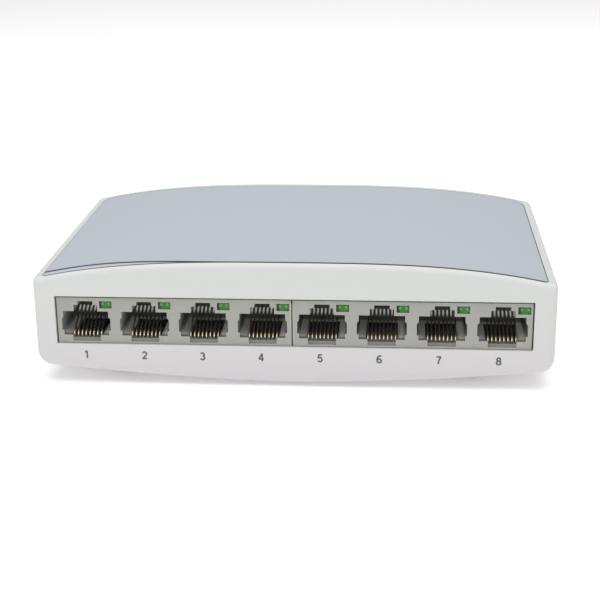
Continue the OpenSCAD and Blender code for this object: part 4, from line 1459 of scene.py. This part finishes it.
FRAME_WIDTH_MM = 36
FLOOR_REACH = 6
TOP_LIGHT_PLACE = (0, -0.1, 0.9)
FRONT_LIGHT_PLACE = (-0.25, -1.0, 0.45)
AIM = Vector((0, 0, 0.02))


class SWITCH_OT_stage(bpy.types.Operator):
    """Sets the camera, the pale floor and the soft studio light"""

    bl_idname = "switch.stage"
    bl_label = "Stage"

    def execute(self, context):
        s = context.scene.switch_stage
        self.camera(context, s)
        self.floor()
        self.surround(context, s)
        self.soft_light("top light", TOP_LIGHT_PLACE, size=1.2, power=s.top_power)
        self.soft_light("front light", FRONT_LIGHT_PLACE, size=0.8, power=s.front_power)
        context.scene.view_settings.view_transform = "Standard"
        return {"FINISHED"}

    @staticmethod
    def camera(context, s):
        data = bpy.data.cameras.new("camera")
        data.lens = s.lens
        data.sensor_width = FRAME_WIDTH_MM
        data.clip_start = 0.01
        data.clip_end = 50
        camera = add_object("camera", data)
        level = Vector((-math.sin(s.yaw), math.cos(s.yaw), 0))
        right = Vector((math.cos(s.yaw), math.sin(s.yaw), 0))
        forward = level * math.cos(s.pitch) - Vector((0, 0, math.sin(s.pitch)))
        up = right.cross(forward)
        turned = Matrix((right, up, -forward)).transposed()
        lean = Matrix.Rotation(-s.roll, 3, "Z")
        camera.matrix_world = Matrix.Translation(s.camera_place) @ (turned @ lean).to_4x4()
        context.scene.camera = camera

    @staticmethod
    def floor():
        corners = [(x * FLOOR_REACH, y * FLOOR_REACH, 0) for x, y in ((-1, -1), (1, -1), (1, 1), (-1, 1))]
        floor = from_points("floor", corners, [(0, 1, 2, 3)])
        floor.data.materials.append(studio_floor("studio floor"))

    @staticmethod
    def surround(context, s):
        world = bpy.data.worlds.new("studio")
        world.use_nodes = True
        background = world.node_tree.nodes["Background"]
        background.inputs["Color"].default_value = (1, 1, 1, 1)
        background.inputs["Strength"].default_value = s.world_strength
        context.scene.world = world

    @staticmethod
    def soft_light(name, place, size, power):
        data = bpy.data.lights.new(name, "AREA")
        data.shape = "DISK"
        data.size = size
        data.energy = power
        light = add_object(name, data)
        light.rotation_euler = (AIM - Vector(place)).to_track_quat("-Z", "Y").to_euler()
        light.location = place


PIECE_OPERATORS = (
    SWITCH_OT_housing,
    SWITCH_OT_panel,
    SWITCH_OT_base,
    SWITCH_OT_screws,
    SWITCH_OT_sockets,
    SWITCH_OT_contacts,
    SWITCH_OT_lights,
    SWITCH_OT_numbers,
    SWITCH_OT_board,
    SWITCH_OT_inlet,
    SWITCH_OT_stage,
)


class SWITCH_PT_panel(bpy.types.Panel):
    """Lists the pieces and the settings"""

    bl_label = "Network switch"
    bl_space_type = "VIEW_3D"
    bl_region_type = "UI"
    bl_category = "Network switch"

    def draw(self, context):
        for operator in PIECE_OPERATORS:
            self.layout.operator(operator.bl_idname)
        for name, group in SETTINGS.items():
            box = self.layout.box()
            for key in group.__annotations__:
                box.prop(getattr(context.scene, name), key)


def register():
    for group in SETTINGS.values():
        bpy.utils.register_class(group)
    for name, group in SETTINGS.items():
        setattr(bpy.types.Scene, name, PointerProperty(type=group))
    for cls in (*PIECE_OPERATORS, SWITCH_PT_panel):
        bpy.utils.register_class(cls)


def unregister():
    for cls in (SWITCH_PT_panel, *reversed(PIECE_OPERATORS)):
        bpy.utils.unregister_class(cls)
    for name, group in SETTINGS.items():
        delattr(bpy.types.Scene, name)
        bpy.utils.unregister_class(group)


def main():
    register()
    for operator in PIECE_OPERATORS:
        piece = operator.bl_idname.split(".")[1]
        getattr(bpy.ops.switch, piece)()


if __name__ == "__main__":
    main()
